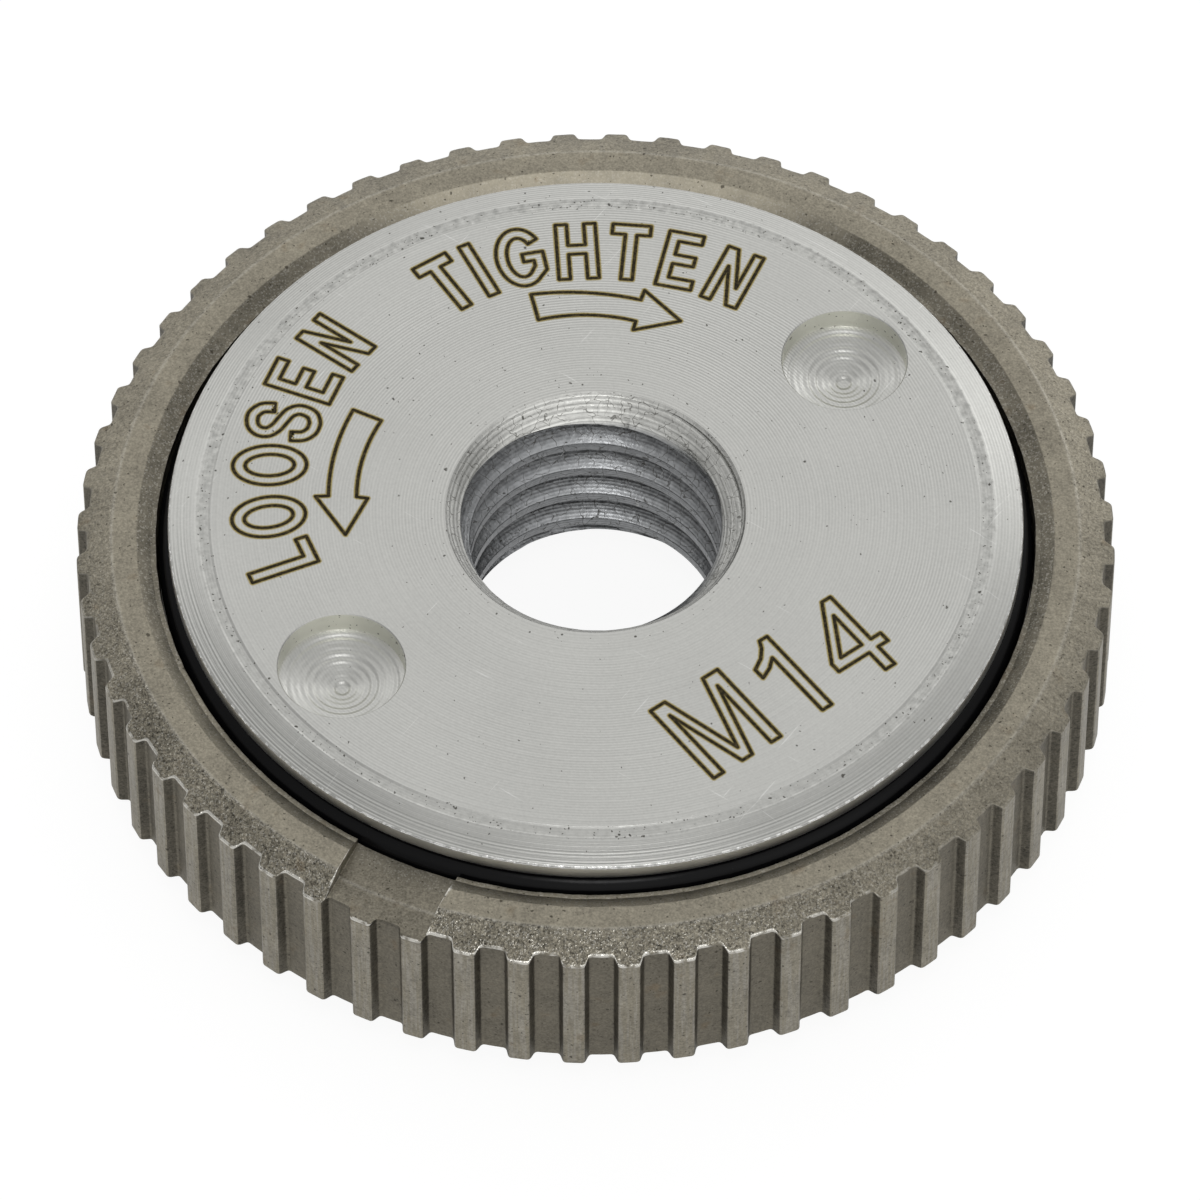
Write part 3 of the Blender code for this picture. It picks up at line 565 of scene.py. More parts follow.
def makeSinteredSteel():
    # pressed and sintered powder: fine grain, small pores, a coarse band with painted glints and painted shade towards
    # the front, rubbed rib tips, rib flanks in painted shade, and worn edges with a painted highlight
    look = sinteredLook
    material, tree = newMaterial("sinteredSteel")
    place, radius, height, level = surfacePlace(tree)
    forward = towards(place, frontWay)
    grain = cloudy(place, 4.5, 2.0, 0.65)
    fine = cloudy(place, 9.0, 2.0, 0.65)
    cloud = cloudy(place, 0.45, 2.0, 0.6)
    # rib tips, rib flanks in painted shade, and the gaps between ribs
    wall = fade(level, 0.35, 0.15) * fade(radius, *look["wallRadii"])
    outward = vectorMath("NORMALIZE", vectorMath("MULTIPLY", place, (1.0, 1.0, 0.0)))
    facing = calc("ABSOLUTE", towards(outward, output(tree, "NewGeometry", "True Normal")))
    flank = wall * fade(facing, 0.55, 0.90, 1, 0)
    tip = wall * fade(radius, *look["ribRadii"]) * (1.0 - flank)
    gap = larger(wall * fade(radius, *look["ribRadii"], 1, 0), flank)
    # the band outside the bead, which is coarse and, towards the front, darkened with painted shade and flecked with
    # painted glints; the notch; and the inner lip
    top = above(level, 0.7) * fade(height, *look["topHeights"])
    onBand = fade(radius, *look["bandRadii"]) * top
    notch = math.radians(look["notchAngle"])
    aside = calc("ABSOLUTE", towards(place, (-math.sin(notch), math.cos(notch), 0.0)))
    inNotch = fade(aside, *look["notchSides"], 1, 0) * fade(forward, 5.0, 8.0)
    coarseWithPaintedFrontShade = onBand * (1.0 - inNotch) * fade(forward, 4.0, 23.0, 0.2, 1.0)
    lip = fade(radius, *look["lipRadii"], 1, 0) * fade(height, *look["lipHeights"])
    facets = addNode(tree, "TexVoronoi", {"Vector": place, "Scale": 14.5})
    chance, shade, depth = parts(Field(facets.outputs["Color"]), "Color")
    # painted glints on the band's facets, most towards the front, and on the lip
    paintedGlints = (coarseWithPaintedFrontShade + lip * 0.6) * fade(chance, 0.74, 0.92)
    calm = coarseWithPaintedFrontShade * 0.5 + fade(lip, 0, 1, 0.75, 0.40)
    tone = (1.0 + calm * varied(grain, 0.95) + calm * varied(fine, 0.90) + varied(cloud, 0.66)
            # painted shade on the rib flanks, and painted shade over the band towards the front
            + flank * -0.38 + coarseWithPaintedFrontShade * varied(shade, 0.50) + coarseWithPaintedFrontShade * -0.22 + onBand * -0.07
            # the lip: a painted highlight at its back, darker at its sides and less dark at the front
            + lip * fade(parts(place)[1], 17.0, 21.2, -0.42, 0.60) + lip * fade(forward, 8.0, 18.0, 0.0, 0.38)
            + inNotch * band(height, *look["notchFloor"]) * -0.24)
    streaks = cloudy(vectorMath("MULTIPLY", place, (5.0, 5.0, 0.22)), 1.3, 2.0, 0.6)
    # the gaps take the dark colour, and the rib flanks take it as painted shade
    colour = blendColour(gap * 0.80, look["colour"], look["dark"])
    colour = blendColour(tip * fade(streaks, 0.38, 0.66), colour, look["rubbed"])
    colour = blendColour(fade(cloudy(place, 0.9), 0.62, 0.78) * 0.45, colour, look["stain"])
    colour = blendColour(paintedGlints * 0.26, tinted(colour, tone), look["edge"])
    # edges rubbed bright, with a painted highlight strongest towards the front: along the top of every rib and gap, and
    # a faint painted highlight where bead and band meet
    edge = fade(output(tree, "Attribute", "Fac", attribute_name="edgeWearPaintedHighlight"), 0.35, 0.75)
    edge = edge * fade(cloudy(place, 2.2), 0.34, 0.56) * fade(forward, 9.0, 22.0, 0.08, 1.0)
    paintedRidgeHighlight = band(radius, *look["paintedRidgeBand"]) * top * fade(grain, 0.25, 0.60, 0.45, 1.0)
    wearWithPaintedHighlight = larger(edge * 0.85, paintedRidgeHighlight * 0.15)
    colour = blendColour(wearWithPaintedHighlight, colour, look["edge"])
    uneasy = ragged(place, 5.0, 0.2)
    pores = larger(specks(uneasy, 3.4, 0.10, 0.06), specks(shifted(uneasy, (5.3, 1.9, 2.2)), 6.5, 0.06, 0.14))
    crystals = Field(facets.outputs["Distance"]) * depth * coarseWithPaintedFrontShade * 1.7
    finishMaterial(tree, {
        "Base Color": blendColour(pores * 0.72, colour, look["pore"]), "Metallic": 1.0,
        "Roughness": look["roughness"] + varied(cloud, 0.2) + onBand * -0.06 + wearWithPaintedHighlight * -0.20 + paintedGlints * -0.16,
        "Normal": bumpy(calm * (fine * 0.5 + grain) + crystals, look["grainDepth"])})
    return material


def makeGroundSteel(name, colour, roughness, ringPitch, depth=0.0000015):
    # hardened and ground: fine rings, and a little handling wear
    material, tree = newMaterial(name)
    place, radius, height, level = surfacePlace(tree)
    rings = lineNoise(blendNumber(above(level, 0.6), height, radius), 1.0 / ringPitch, 3.0)
    cloud = cloudy(place, 0.3, 4.0, 0.6)
    finishMaterial(tree, {
        "Base Color": tinted(colour, 1.0 + varied(rings, 0.25) + varied(cloud, 0.3)), "Metallic": 1.0,
        "Roughness": varied(cloud, 0.2) + roughness, "Normal": bumpy(rings + cloudy(place, 6.0), depth)})
    return material


def makeBlackRubber():
    material, tree = newMaterial("blackRubber")
    place = surfacePlace(tree)[0]
    skin = cloudy(place, 2.2, 3.0, 0.6)
    dust = fade(cloudy(place, 9.0, 3.0), 0.68, 0.80)
    finishMaterial(tree, {
        "Base Color": blendColour(dust * 0.30, (0.003, 0.003, 0.0034), (0.04, 0.037, 0.034)),
        "Roughness": skin * 0.15 + 0.12, "Normal": bumpy(skin, 0.000006), "Specular IOR Level": 0.14})
    return material


turnedSteel = makeTurnedSteel()
laserMark = makeLaserMark()
sinteredSteel = makeSinteredSteel()
groundSteel = makeGroundSteel("groundSteel", (0.42, 0.42, 0.41), 0.28, 0.12)
ballSteel = makeGroundSteel("ballSteel", (0.62, 0.62, 0.62), 0.10, 0.4, 0.0000004)
springSteel = makeGroundSteel("springSteel", (0.16, 0.16, 0.17), 0.36, 0.2)
blackRubber = makeBlackRubber()
print("materials made")

repeatRound = makeRoundTree()
roundWire = makeWireTree()

# what the pieces inside share
works = {
    "ballCircle": 16.5, "ballRadius": 2.0, "ballHeight": 7.0, "trackRadius": 2.15, "balls": 6, "firstBall": 22.2,
    "pins": 3, "firstPin": 67.2, "pinRadius": 1.25, "pinTop": 10.55, "pinBottom": 2.4, "turn": 30.0, "lift": 0.8,
    "coilRadius": 11.0, "wireRadius": 0.35, "ringLeg": 112.2, "ringLegEnd": 13.6, "hubLeg": -32.7, "hubLegEnd": 9.7,
    "webBottom": 6.4, "webTop": 8.1, "pinPress": 0.05, "pinGap": 0.1, "slotGap": 0.2, "legGap": 0.2,
}


def evenly(first, count):
    return [first + 360 / count * i for i in range(count)]


def pinHoles(gap, bottom, top):
    places = [polar(works["ballCircle"], azimuth) for azimuth in evenly(works["firstPin"], works["pins"])]
    return [rodShape(place[:2], works["pinRadius"] + gap, bottom, top, 40) for place in places]


# threaded hub

hub = {
    "columns": 288, "threadMinor": 6.0, "threadMajor": 7.0, "threadPitch": 2.0, "threadAngle": 30.0,
    "crestFlat": 0.50, "threadRounding": 0.07, "crestHeight": 1.3,
    "faceHeight": 12.65, "sleeveEnd": 1.8, "mouthRadius": 7.15, "coneDepth": 1.15, "stepPitch": 0.17,
    "stepDepth": 0.010, "rimRadius": 20.35, "neckRadius": 18.95, "seatRadius": 20.85, "underside": 8.4,
    "sleeveRadius": 9.5, "clipRadius": 8.8, "levelRows": 0.7,
    "spannerRadius": 3.0, "spannerSpacing": 30.0, "spannerAngle": 37.2, "spannerDepth": 1.2, "spannerCone": 0.75,
    "ledge": 0.22, "drillPitch": 0.34, "drillRipple": 0.014,
}


def threadSection():
    # one pitch of an internal thread, as (way along the axis, radius)
    depth = hub["threadMajor"] - hub["threadMinor"]
    flank = depth * math.tan(math.radians(hub["threadAngle"]))
    half, pitch, soft = hub["crestFlat"] / 2, hub["threadPitch"], hub["threadRounding"]
    corners = [(-half, hub["threadMinor"], soft), (half, hub["threadMinor"], soft),
               (half + flank, hub["threadMajor"], soft), (pitch - half - flank, hub["threadMajor"], soft)]
    first = (corners[-1][0] - pitch, corners[-1][1], soft)
    last = (corners[0][0] + pitch, corners[0][1], soft)
    points = softCorners([first] + corners + [last], steps=3)
    return [p for p in points if -half - 0.2 <= p[0] < pitch - half - 0.2]


def boreShape():
    # threaded bore between two countersinks: helical rows in the middle, level rows near both mouths
    section = threadSection()
    pitch, top, bottom = hub["threadPitch"], hub["faceHeight"], hub["sleeveEnd"]
    ways = np.array([p[0] for p in section] + [section[0][0] + pitch])
    radii = np.array([p[1] for p in section] + [section[0][1]])
    turns = np.linspace(0, math.tau, hub["columns"] + 1)

    def ruled(height, turn):
        way = (height - hub["crestHeight"] - pitch * turn / math.tau - ways[0]) % pitch + ways[0]
        thread = np.interp(way, ways, radii)
        upper = height - (top - hub["coneDepth"])
        lower = bottom + hub["coneDepth"] - height
        ripple = hub["stepDepth"] * np.sin(math.tau * upper / hub["stepPitch"])
        ripple = ripple * np.clip(upper * 4, 0, 1) * np.clip((top - height) * 8, 0, 1)
        cone = hub["threadMinor"] + np.maximum(np.maximum(upper + ripple, lower), -1)
        return np.maximum(thread, cone)

    def swept(heights):
        radius = ruled(heights, turns[None, :] + 0 * heights)
        return gridShape(np.stack([radius * np.cos(turns), radius * np.sin(turns), heights], -1))

    def rows(heights):
        return swept(np.array(heights)[:, None] + 0 * turns)

    high, low = top - hub["levelRows"], bottom + hub["levelRows"]
    first = math.floor((low - hub["crestHeight"]) / pitch) - 1
    last = math.ceil(high / pitch)
    helical = [hub["crestHeight"] + pitch * turn + way for turn in range(first, last + 1) for way in ways[:-1]]
    middle = swept(np.clip(np.array(helical)[:, None] + pitch * turns / math.tau, low, high))
    return [rows(np.linspace(bottom, low, 8)), middle, rows(np.linspace(high, top, 23))]


def hubSection():
    # from the bore's mouth over the face, its groove, the bevel and the seal's seat to the race, then down the sleeve
    mouth, face, end, under = hub["mouthRadius"], hub["faceHeight"], hub["sleeveEnd"], hub["underside"]
    rim, neck, seat, sleeve, clip = (
        hub["rimRadius"], hub["neckRadius"], hub["seatRadius"], hub["sleeveRadius"], hub["clipRadius"])
    race = arcPoints((works["ballCircle"], works["ballHeight"]), works["trackRadius"], 40.6, 139.4, 12)
    outside = softCorners([
        (mouth, face, 0), (18.30, face, 0.06), (18.42, 12.59, 0.06), (18.86, 12.585, 0.05), (18.95, 12.61, 0.05),
        (rim, 12.17, 0.15), (rim, 11.4, 0.04), (neck, 11.4, 0.08), (neck, 9.2, 0.08), (seat, 9.2, 0.04),
        (seat, under, 0.04), (18.14, under, 0)])
    inside = softCorners([
        (14.86, under, 0), (sleeve, under, 0.1), (sleeve, 3.6, 0.03), (clip, 3.6, 0.05), (clip, 2.6, 0.05),
        (sleeve, 2.6, 0.03), (sleeve, 2.1, 0.03), (9.2, end, 0.03), (mouth, end, 0)])
    return outside + race[1:-1] + inside


def drillShape():
    # a spanner hole's cutter: softened rim, upright wall, a narrow ledge and a cone with turned rings
    radius, floor, ledge = hub["spannerRadius"], -hub["spannerDepth"], hub["ledge"]
    profile = [(0.0, 0.6), (radius + 0.05, 0.6), (radius + 0.05, 0.0), (radius, -0.05), (radius, floor)]
    for r in np.arange(radius - ledge, -0.001, -0.06):
        ripple = math.sin(math.tau * r / hub["drillPitch"]) + 0.6 * math.sin(4.7 * r / hub["drillPitch"] + 1.0)
        profile.append((max(r, 0.0), floor - hub["spannerCone"] * (1 - r / radius) + hub["drillRipple"] * ripple))
    profile[-1] = (0.0, profile[-1][1])
    return turnedShape(profile, 72, closed=False)


def makeHub():
    body = turnedShape(hubSection(), hub["columns"], closed=False)
    piece = makePiece("threadedHub", [body] + boreShape(), turnedSteel)
    holes = [polar(hub["spannerSpacing"] / 2, azimuth, hub["faceHeight"]) for azimuth in evenly(hub["spannerAngle"], 2)]
    cutters = [movedShape(drillShape(), place) for place in holes]
    below = hub["underside"] - 1.0
    cutters += pinHoles(works["pinPress"], below, works["pinTop"] + works["pinPress"])
    leg = polar(works["coilRadius"], works["hubLeg"])
    gap = works["legGap"]
    cutters.append(rodShape(leg[:2], works["wireRadius"] + gap, below, works["hubLegEnd"] + gap, 24))
    piece = polish(carve(piece, cutters))
    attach(piece, "hub")
    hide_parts("threaded_hub")


makeHub()
print("threaded hub made")


# grip ring

ring = {
    "ribs": 60, "firstRib": 3.65, "tipRadius": 24.75, "floorRadius": 24.25, "tipWidth": 0.98, "footWidth": 1.40,
    "tipRounding": 0.20, "footRounding": 0.20, "edgeRounding": 0.07, "bandSlope": 0.43, "bottom": 2.4,
    "unevenness": 0.026, "notchAngle": sinteredLook["notchAngle"], "notchWidth": 5.15, "notchFloor": 10.55,
    "beadTop": 11.2, "beadOuter": 23.03, "lipRadius": 21.86, "lipInner": 21.2, "innerRadius": 20.95, "lipHeight": 10.9,
    "webInner": 12.5, "bandEdge": 0.16, "wallEdge": 0.17, "webReach": 0.25,
    "noiseOffsets": [(9.3, -1.5, -7.9), (1.7, 9.2, 2.6), (-12.4, 5.7, 3.1)],
}


def bandHeight(reach):
    return ring["beadTop"] - ring["bandSlope"] * (reach - ring["beadOuter"])


def ribOutline():
    # half a rib and half a gap, as (degrees from the rib's middle, radius)
    pitch = 2 * math.pi * ring["floorRadius"] / ring["ribs"] / 2
    half = softCorners([
        (0, ring["tipRadius"], 0), (ring["tipWidth"] / 2, ring["tipRadius"], ring["tipRounding"]),
        (ring["footWidth"] / 2, ring["floorRadius"], ring["footRounding"]), (pitch, ring["floorRadius"], 0)])
    half.insert(1, (ring["tipWidth"] / 4, ring["tipRadius"]))
    floor = ring["floorRadius"]
    side = [(math.degrees(way / (radius + (floor - radius) * way / pitch)), radius) for way, radius in half]
    side[-1] = (180.0 / ring["ribs"], floor)
    return [(-angle, radius) for angle, radius in side[:0:-1]] + side


def ringSection(outer):
    # the ring's half section where its outer wall has this radius
    top, bottom, inner, edge = bandHeight(outer), ring["bottom"], ring["innerRadius"], ring["bandEdge"]
    web, webBottom, webTop = ring["webInner"], works["webBottom"], works["webTop"]
    return softCorners([
        (inner, ring["lipHeight"], 0.03), (ring["lipInner"], ring["lipHeight"], 0.05),
        (ring["lipRadius"], ring["beadTop"], 0.06), (ring["beadOuter"], ring["beadTop"], 0.16),
        (outer - edge, top + edge * ring["bandSlope"], 0), (outer, top, ring["edgeRounding"]),
        (outer, top - ring["wallEdge"], 0), (outer, bottom, 0.12), (inner + 0.3, bottom, 0.06),
        (inner, bottom + 0.3, 0.06), (inner, webBottom, 0.1), (web, webBottom, 0.08), (web, webTop, 0.08),
        (inner, webTop, 0.1)], closed=True)


def ribSector():
    columns = []
    for angle, outer in ribOutline():
        section = ringSection(outer)
        turn = math.radians(angle)
        columns.append([(r * math.cos(turn), r * math.sin(turn), z) for r, z in section])
    return gridShape(np.array(columns).transpose(1, 0, 2), closeRows=True)


def notchShape():
    half, soft = ring["notchWidth"] / 2, 0.05
    floor, turn = ring["notchFloor"], math.radians(ring["notchAngle"])
    over, inner, outer = 12.0, 19.8, 26.0                # past the ring on every open side
    section = softCorners([(-half, over, 0), (-half, floor, soft), (half, floor, soft), (half, over, 0)])
    points = [(*rotated(reach, y, turn), z) for reach in (inner, outer) for y, z in section]
    return np.array(points), prismFaces(len(section))


def slotOutline(start, end, half):
    circle = works["ballCircle"]
    outer = arcPoints((0, 0), circle + half, start, end, 12)
    inner = arcPoints((0, 0), circle - half, end, start, 12)
    farEnd = arcPoints(polar(circle, end)[:2], half, end, end + 180, 12)
    nearEnd = arcPoints(polar(circle, start)[:2], half, start + 180, start + 360, 12)
    return outer + farEnd[1:-1] + inner + nearEnd[1:-1]


def wander(place):
    # noise.noise_vector would give another shape each time that Blender starts, and noise.noise never does
    return Vector([noise.noise(place + Vector(offset)) for offset in ring["noiseOffsets"]])


def unsettle(piece):
    # sintered edges are never quite straight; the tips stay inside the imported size, and the bead's top stays level
    for vertex in piece.data.vertices:
        place = vertex.co / mm
        reach = math.hypot(place.x, place.y)
        if reach > ring["innerRadius"] - 0.05:
            near = ring["unevenness"] * (1.0 if place.z > 10 else 0.5)
            shift = wander(place * 1.1) * near + wander(place * 3.0) * near * 0.5
            outward = Vector((place.x, place.y, 0)).normalized()
            out, rise = shift.dot(outward), shift.z
            if reach > 24.6:
                out = min(out, 0) + max(out, 0) * min(1.0, max(0.0, (ring["tipRadius"] - 0.01 - reach) / 0.02))
            if place.z > ring["beadTop"] - 0.01:
                rise = min(rise, 0.0)
            elif place.z <= 3:
                rise = 0.0
            vertex.co += (outward * out + Vector((0, 0, rise))) * mm


def markEdgesForWearAndHighlight(piece):
    # 1 along the top of every rib and gap and along the notch, where handling has worn the edge bright and the material
    # adds a painted highlight
    angles, radii = np.array(ribOutline()).T
    pitch = 360.0 / ring["ribs"]
    notch = math.radians(ring["notchAngle"])
    edgeWearPaintedHighlight = piece.data.attributes.new("edgeWearPaintedHighlight", "FLOAT", "POINT")
    for vertex, mark in zip(piece.data.vertices, edgeWearPaintedHighlight.data):
        x, y, z = vertex.co / mm
        reach = math.hypot(x, y)
        off = (math.degrees(math.atan2(y, x)) - ring["firstRib"] + pitch / 2) % pitch - pitch / 2
        outer = float(np.interp(off, angles, radii))
        along, aside = rotated(x, y, -notch)
        beside = abs(aside) - ring["notchWidth"] / 2
        atNotch = along > 0 and reach > ring["lipInner"] + 0.1
        onRim = reach > max(outer - 0.11, 24.0) and z > bandHeight(outer) - 0.12
        onNotch = atNotch and abs(beside) < 0.03 and z > max(
            ring["notchFloor"] + 0.04, bandHeight(max(reach, ring["beadOuter"])) - 0.05)
        onFloor = atNotch and beside < 0.03 and abs(z - ring["notchFloor"]) < 0.07
        mark.value = 1.0 if (onRim and not onFloor) or onNotch else 0.0


def makeGripRing():
    sector = makePiece("gripRing", [ribSector()], sinteredSteel)
    piece = grow(sector, repeatRound, {
        "Copies": ring["ribs"], "First Angle": math.radians(ring["firstRib"]), "Merge Distance": 0.002 * mm,
        "Material": sinteredSteel})
    low, high = works["webBottom"] - ring["webReach"], works["webTop"] + ring["webReach"]
    cutters = [notchShape()]
    for azimuth in evenly(works["firstBall"], works["balls"]):
        cutters.append(rodShape(polar(works["ballCircle"], azimuth)[:2], works["trackRadius"], low, high, 48))
    for end in evenly(works["firstPin"], works["pins"]):
        slot = slotOutline(end - works["turn"], end, works["pinRadius"] + works["slotGap"])
        cutters.append(prismShape(slot, low, high))
    half, leg = works["wireRadius"] + works["legGap"], math.radians(works["ringLeg"])
    inner, outer = ring["webInner"] - 1.0, works["ringLegEnd"] + works["legGap"]
    slot = [rotated(x, y, leg) for x, y in ((inner, -half), (outer, -half), (outer, half), (inner, half))]
    cutters.append(prismShape(slot, low, high))
    piece = carve(piece, cutters)
    markEdgesForWearAndHighlight(piece)
    unsettle(piece)
    piece = polish(piece)
    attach(piece, "ring")
    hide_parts("grip_ring")


makeGripRing()
print("grip ring made")


# seals

def makeSeal(name, radius, height, section, body, node):
    profile = arcPoints((radius, height), section / 2, 0, 360, 32)[:-1]
    piece = makePiece(name, [turnedShape(profile, 240)], blackRubber)
    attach(piece, body)
    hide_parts(node)


makeSeal("rimSeal", 19.95, 10.3, 1.8, "hub", "rim_seal")
makeSeal("flangeSeal", 20.15, 3.4, 1.4, "flange", "flange_seal")


# thrust flange

flange = {
    "columns": 240, "boreRadius": 9.6, "height": 5.4, "recess": 13.3, "recessHeight": 4.3, "neckRadius": 19.35,
    "plateRadius": 20.75, "faceRadius": 21.5, "chamfer": 0.3, "rampSteps": 12, "rampSides": 36,
}


def rampShape(start):
    # a round bar bent along the ball circle, which sinks by the lift and has half a ball at each end
    turn, lift, radius, count = works["turn"], works["lift"], works["trackRadius"], flange["rampSides"]
    shares = np.linspace(0, 1, flange["rampSteps"] + 1)
    ends = [polar(radius, back) for back in (15, 30, 45, 60, 75)]
    rings = [(start, 0.0, -reach, ringRadius) for ringRadius, reach, _ in reversed(ends)]
    rings += [(start + turn * share, lift * share, 0.0, radius) for share in shares]
    rings += [(start + turn, lift, reach, ringRadius) for ringRadius, reach, _ in ends]
    points = []
    for azimuth, sink, reach, ringRadius in rings:
        centre = polar(works["ballCircle"], azimuth, works["ballHeight"] - sink) + reach * polar(1, azimuth + 90)
        circle = arcPoints((0, 0), ringRadius, 0, 360, count)[:-1]
        points.append([centre + x * polar(1, azimuth) + np.array((0, 0, y)) for x, y in circle])
    shapePoints, faces = gridShape(np.array(points), closeColumns=True)
    last = len(shapePoints) - count
    return shapePoints, faces + [list(range(count)), list(range(last, last + count))[::-1]]


def makeFlange():
    bore, top, cut = flange["boreRadius"], flange["height"], flange["chamfer"]
    recess, roof, neck = flange["recess"], flange["recessHeight"], flange["neckRadius"]
    plate, face = flange["plateRadius"], flange["faceRadius"]
    profile = softCorners([
        (bore, top, 0.1), (plate - cut, top, 0.05), (plate, top - cut, 0.05), (plate, roof, 0.04), (neck, roof, 0.08),
        (neck, 2.5, 0.08), (plate, 2.5, 0.04), (plate, 1.4, 0.05), (face, 1.4, 0.08), (face, cut, 0.06),
        (face - cut, 0.0, 0.06), (recess + cut, 0.0, 0.06), (recess, cut, 0.06), (recess, roof, 0.15),
        (bore, roof, 0.1)], closed=True)
    piece = makePiece("thrustFlange", [turnedShape(profile, flange["columns"])], groundSteel)
    piece = carve(piece, [rampShape(azimuth) for azimuth in evenly(works["firstBall"], works["balls"])])
    piece = polish(carve(piece, pinHoles(works["pinGap"], 1.2, top + 1.0)))
    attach(piece, "flange")
    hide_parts("thrust_flange")


makeFlange()
print("flange made")


# balls, pins, springs and retaining ring

def roundOnCircle(name, profile, height, copies, first, material):
    # turned pieces, evenly spaced on the ball circle
    shape = movedShape(turnedShape(profile, 36, closed=False), (works["ballCircle"], 0, height))
    return grow(makePiece(name, [shape], material), repeatRound, {
        "Copies": copies, "First Angle": math.radians(first), "Merge Distance": 0.0, "Material": material})


def makeBalls():
    radius = works["ballRadius"]
    profile = arcPoints((0, 0), radius, -90, 90, 20)
    profile[0], profile[-1] = (0.0, -radius), (0.0, radius)
    piece = roundOnCircle("balls", profile, works["ballHeight"], works["balls"], works["firstBall"], ballSteel)
    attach(piece, "ring")
    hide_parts(*[f"ball_{i + 1}" for i in range(works["balls"])])


def makePins():
    radius, top, bottom, edge, soft = works["pinRadius"], works["pinTop"], works["pinBottom"], 0.25, 0.08
    profile = softCorners([
        (0, top, 0), (radius - edge, top, soft), (radius, top - edge, soft), (radius, bottom + edge, soft),
        (radius - edge, bottom, soft), (0, bottom, 0)])
    piece = roundOnCircle("drivePins", profile, 0, works["pins"], works["firstPin"], groundSteel)
    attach(piece, "hub")
    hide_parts(*[f"drive_pin_{i + 1}" for i in range(works["pins"])])


def makeCurve(name, line):
    curve = bpy.data.curves.new(name, "CURVE")
    curve.dimensions = "3D"
    spline = curve.splines.new("POLY")
    spline.points.add(len(line) - 1)
    spline.points.foreach_set("co", np.hstack([np.array(line, float) * mm, np.ones((len(line), 1))]).ravel())
    return addObject(name, curve)


def returnSpringLine():
    # from the leg in the ring's web, inward and round the coil, to the leg that stands up into the hub
    radius, ringLeg, hubLeg = works["coilRadius"], works["ringLeg"], works["hubLeg"]
    bend, low, rise = 0.6, 6.8, 1.15
    bendAngle = math.degrees(bend / radius)
    sweep = ringLeg - hubLeg + 360 - 2 * bendAngle
    quarters = [(1 - math.sin(turn), 1 - math.cos(turn)) for turn in np.linspace(0, math.pi / 2, 8)]
    line = [polar(works["ringLegEnd"], ringLeg, low)]
    line += [polar(radius + bend * out, ringLeg - bendAngle * back, low) for out, back in quarters[:-1]]
    line += [polar(radius, ringLeg - bendAngle - sweep * share, low + rise * share) for share in np.linspace(0, 1, 110)]
    line += [polar(radius, hubLeg + bendAngle * back, low + rise + bend * up) for back, up in quarters[1:]]
    return line + [polar(radius, hubLeg, works["hubLegEnd"])]


def makeReturnSpring():
    curve = makeCurve("returnSpring", returnSpringLine())
    piece = grow(curve, roundWire, {"Wire Radius": works["wireRadius"] * mm, "Sides": 16, "Material": springSteel})
    smoothShading(piece.data)
    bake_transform(piece)
    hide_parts("return_spring")


def makeLiftSpring():
    # a wave washer, whose crests touch the flange and whose valleys touch the retaining ring
    low, swing, thick = 3.6, 0.2, 0.25
    turns = np.radians(np.arange(0, 360, 2))
    inner, outer, soft = 9.8, 11.7, 0.05
    section = softCorners([(inner, 0, soft), (outer, 0, soft), (outer, thick, soft), (inner, thick, soft)], True, 2)
    points = [[(r * math.cos(t), r * math.sin(t), low + swing * (1 - math.cos(3 * t)) + z) for t in turns]
              for r, z in section]
    piece = makePiece("liftSpring", [gridShape(np.array(points), closeRows=True, closeColumns=True)], springSteel)
    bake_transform(piece)
    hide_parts("lift_spring")


def makeSnapRing():
    # external retaining ring, widest opposite its gap, with a lug on each side of it
    inner, lug, widest, gap, eye, bottom, top, steps = 8.85, 1.15, 1.9, 8.0, 0.55, 2.65, 3.55, 90
    lugAngle = gap + math.degrees(math.asin(lug / (inner + lug)))
    bodyAngle = 2 * lugAngle - gap
    outline = arcPoints((0, 0), inner, gap, 360 - gap, steps)
    last = polar(inner + lug, 360 - lugAngle)[:2]
    outline += arcPoints(last, lug, 450 - lugAngle, 270 - lugAngle, 16)
    for step in range(1, steps):
        azimuth = 360 - bodyAngle - (360 - 2 * bodyAngle) * step / steps
        width = lug + (widest - lug) * (1 - math.cos(math.radians(azimuth))) / 2
        outline.append(tuple(polar(inner + width, azimuth)[:2]))
    first = polar(inner + lug, lugAngle)[:2]
    outline += arcPoints(first, lug, lugAngle + 90, lugAngle - 90, 16)
    piece = makePiece("snapRing", [prismShape(outline, bottom, top)], springSteel)
    piece = carve(piece, [rodShape(place, eye, bottom - 0.65, top + 0.65, 32) for place in (first, last)])
    rounding = piece.modifiers.new("edges", "BEVEL")
    rounding.width = 0.06 * mm
    rounding.segments = 2
    rounding.limit_method = "ANGLE"
    rounding.angle_limit = math.radians(50)
    piece = polish(settle(piece))
    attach(piece, "hub")
    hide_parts("snap_ring")


makeBalls()
makePins()
makeReturnSpring()
makeLiftSpring()
makeSnapRing()
print("inner pieces made")


# laser marks: generic words, arrows and the thread's size, as outlines in millimetres

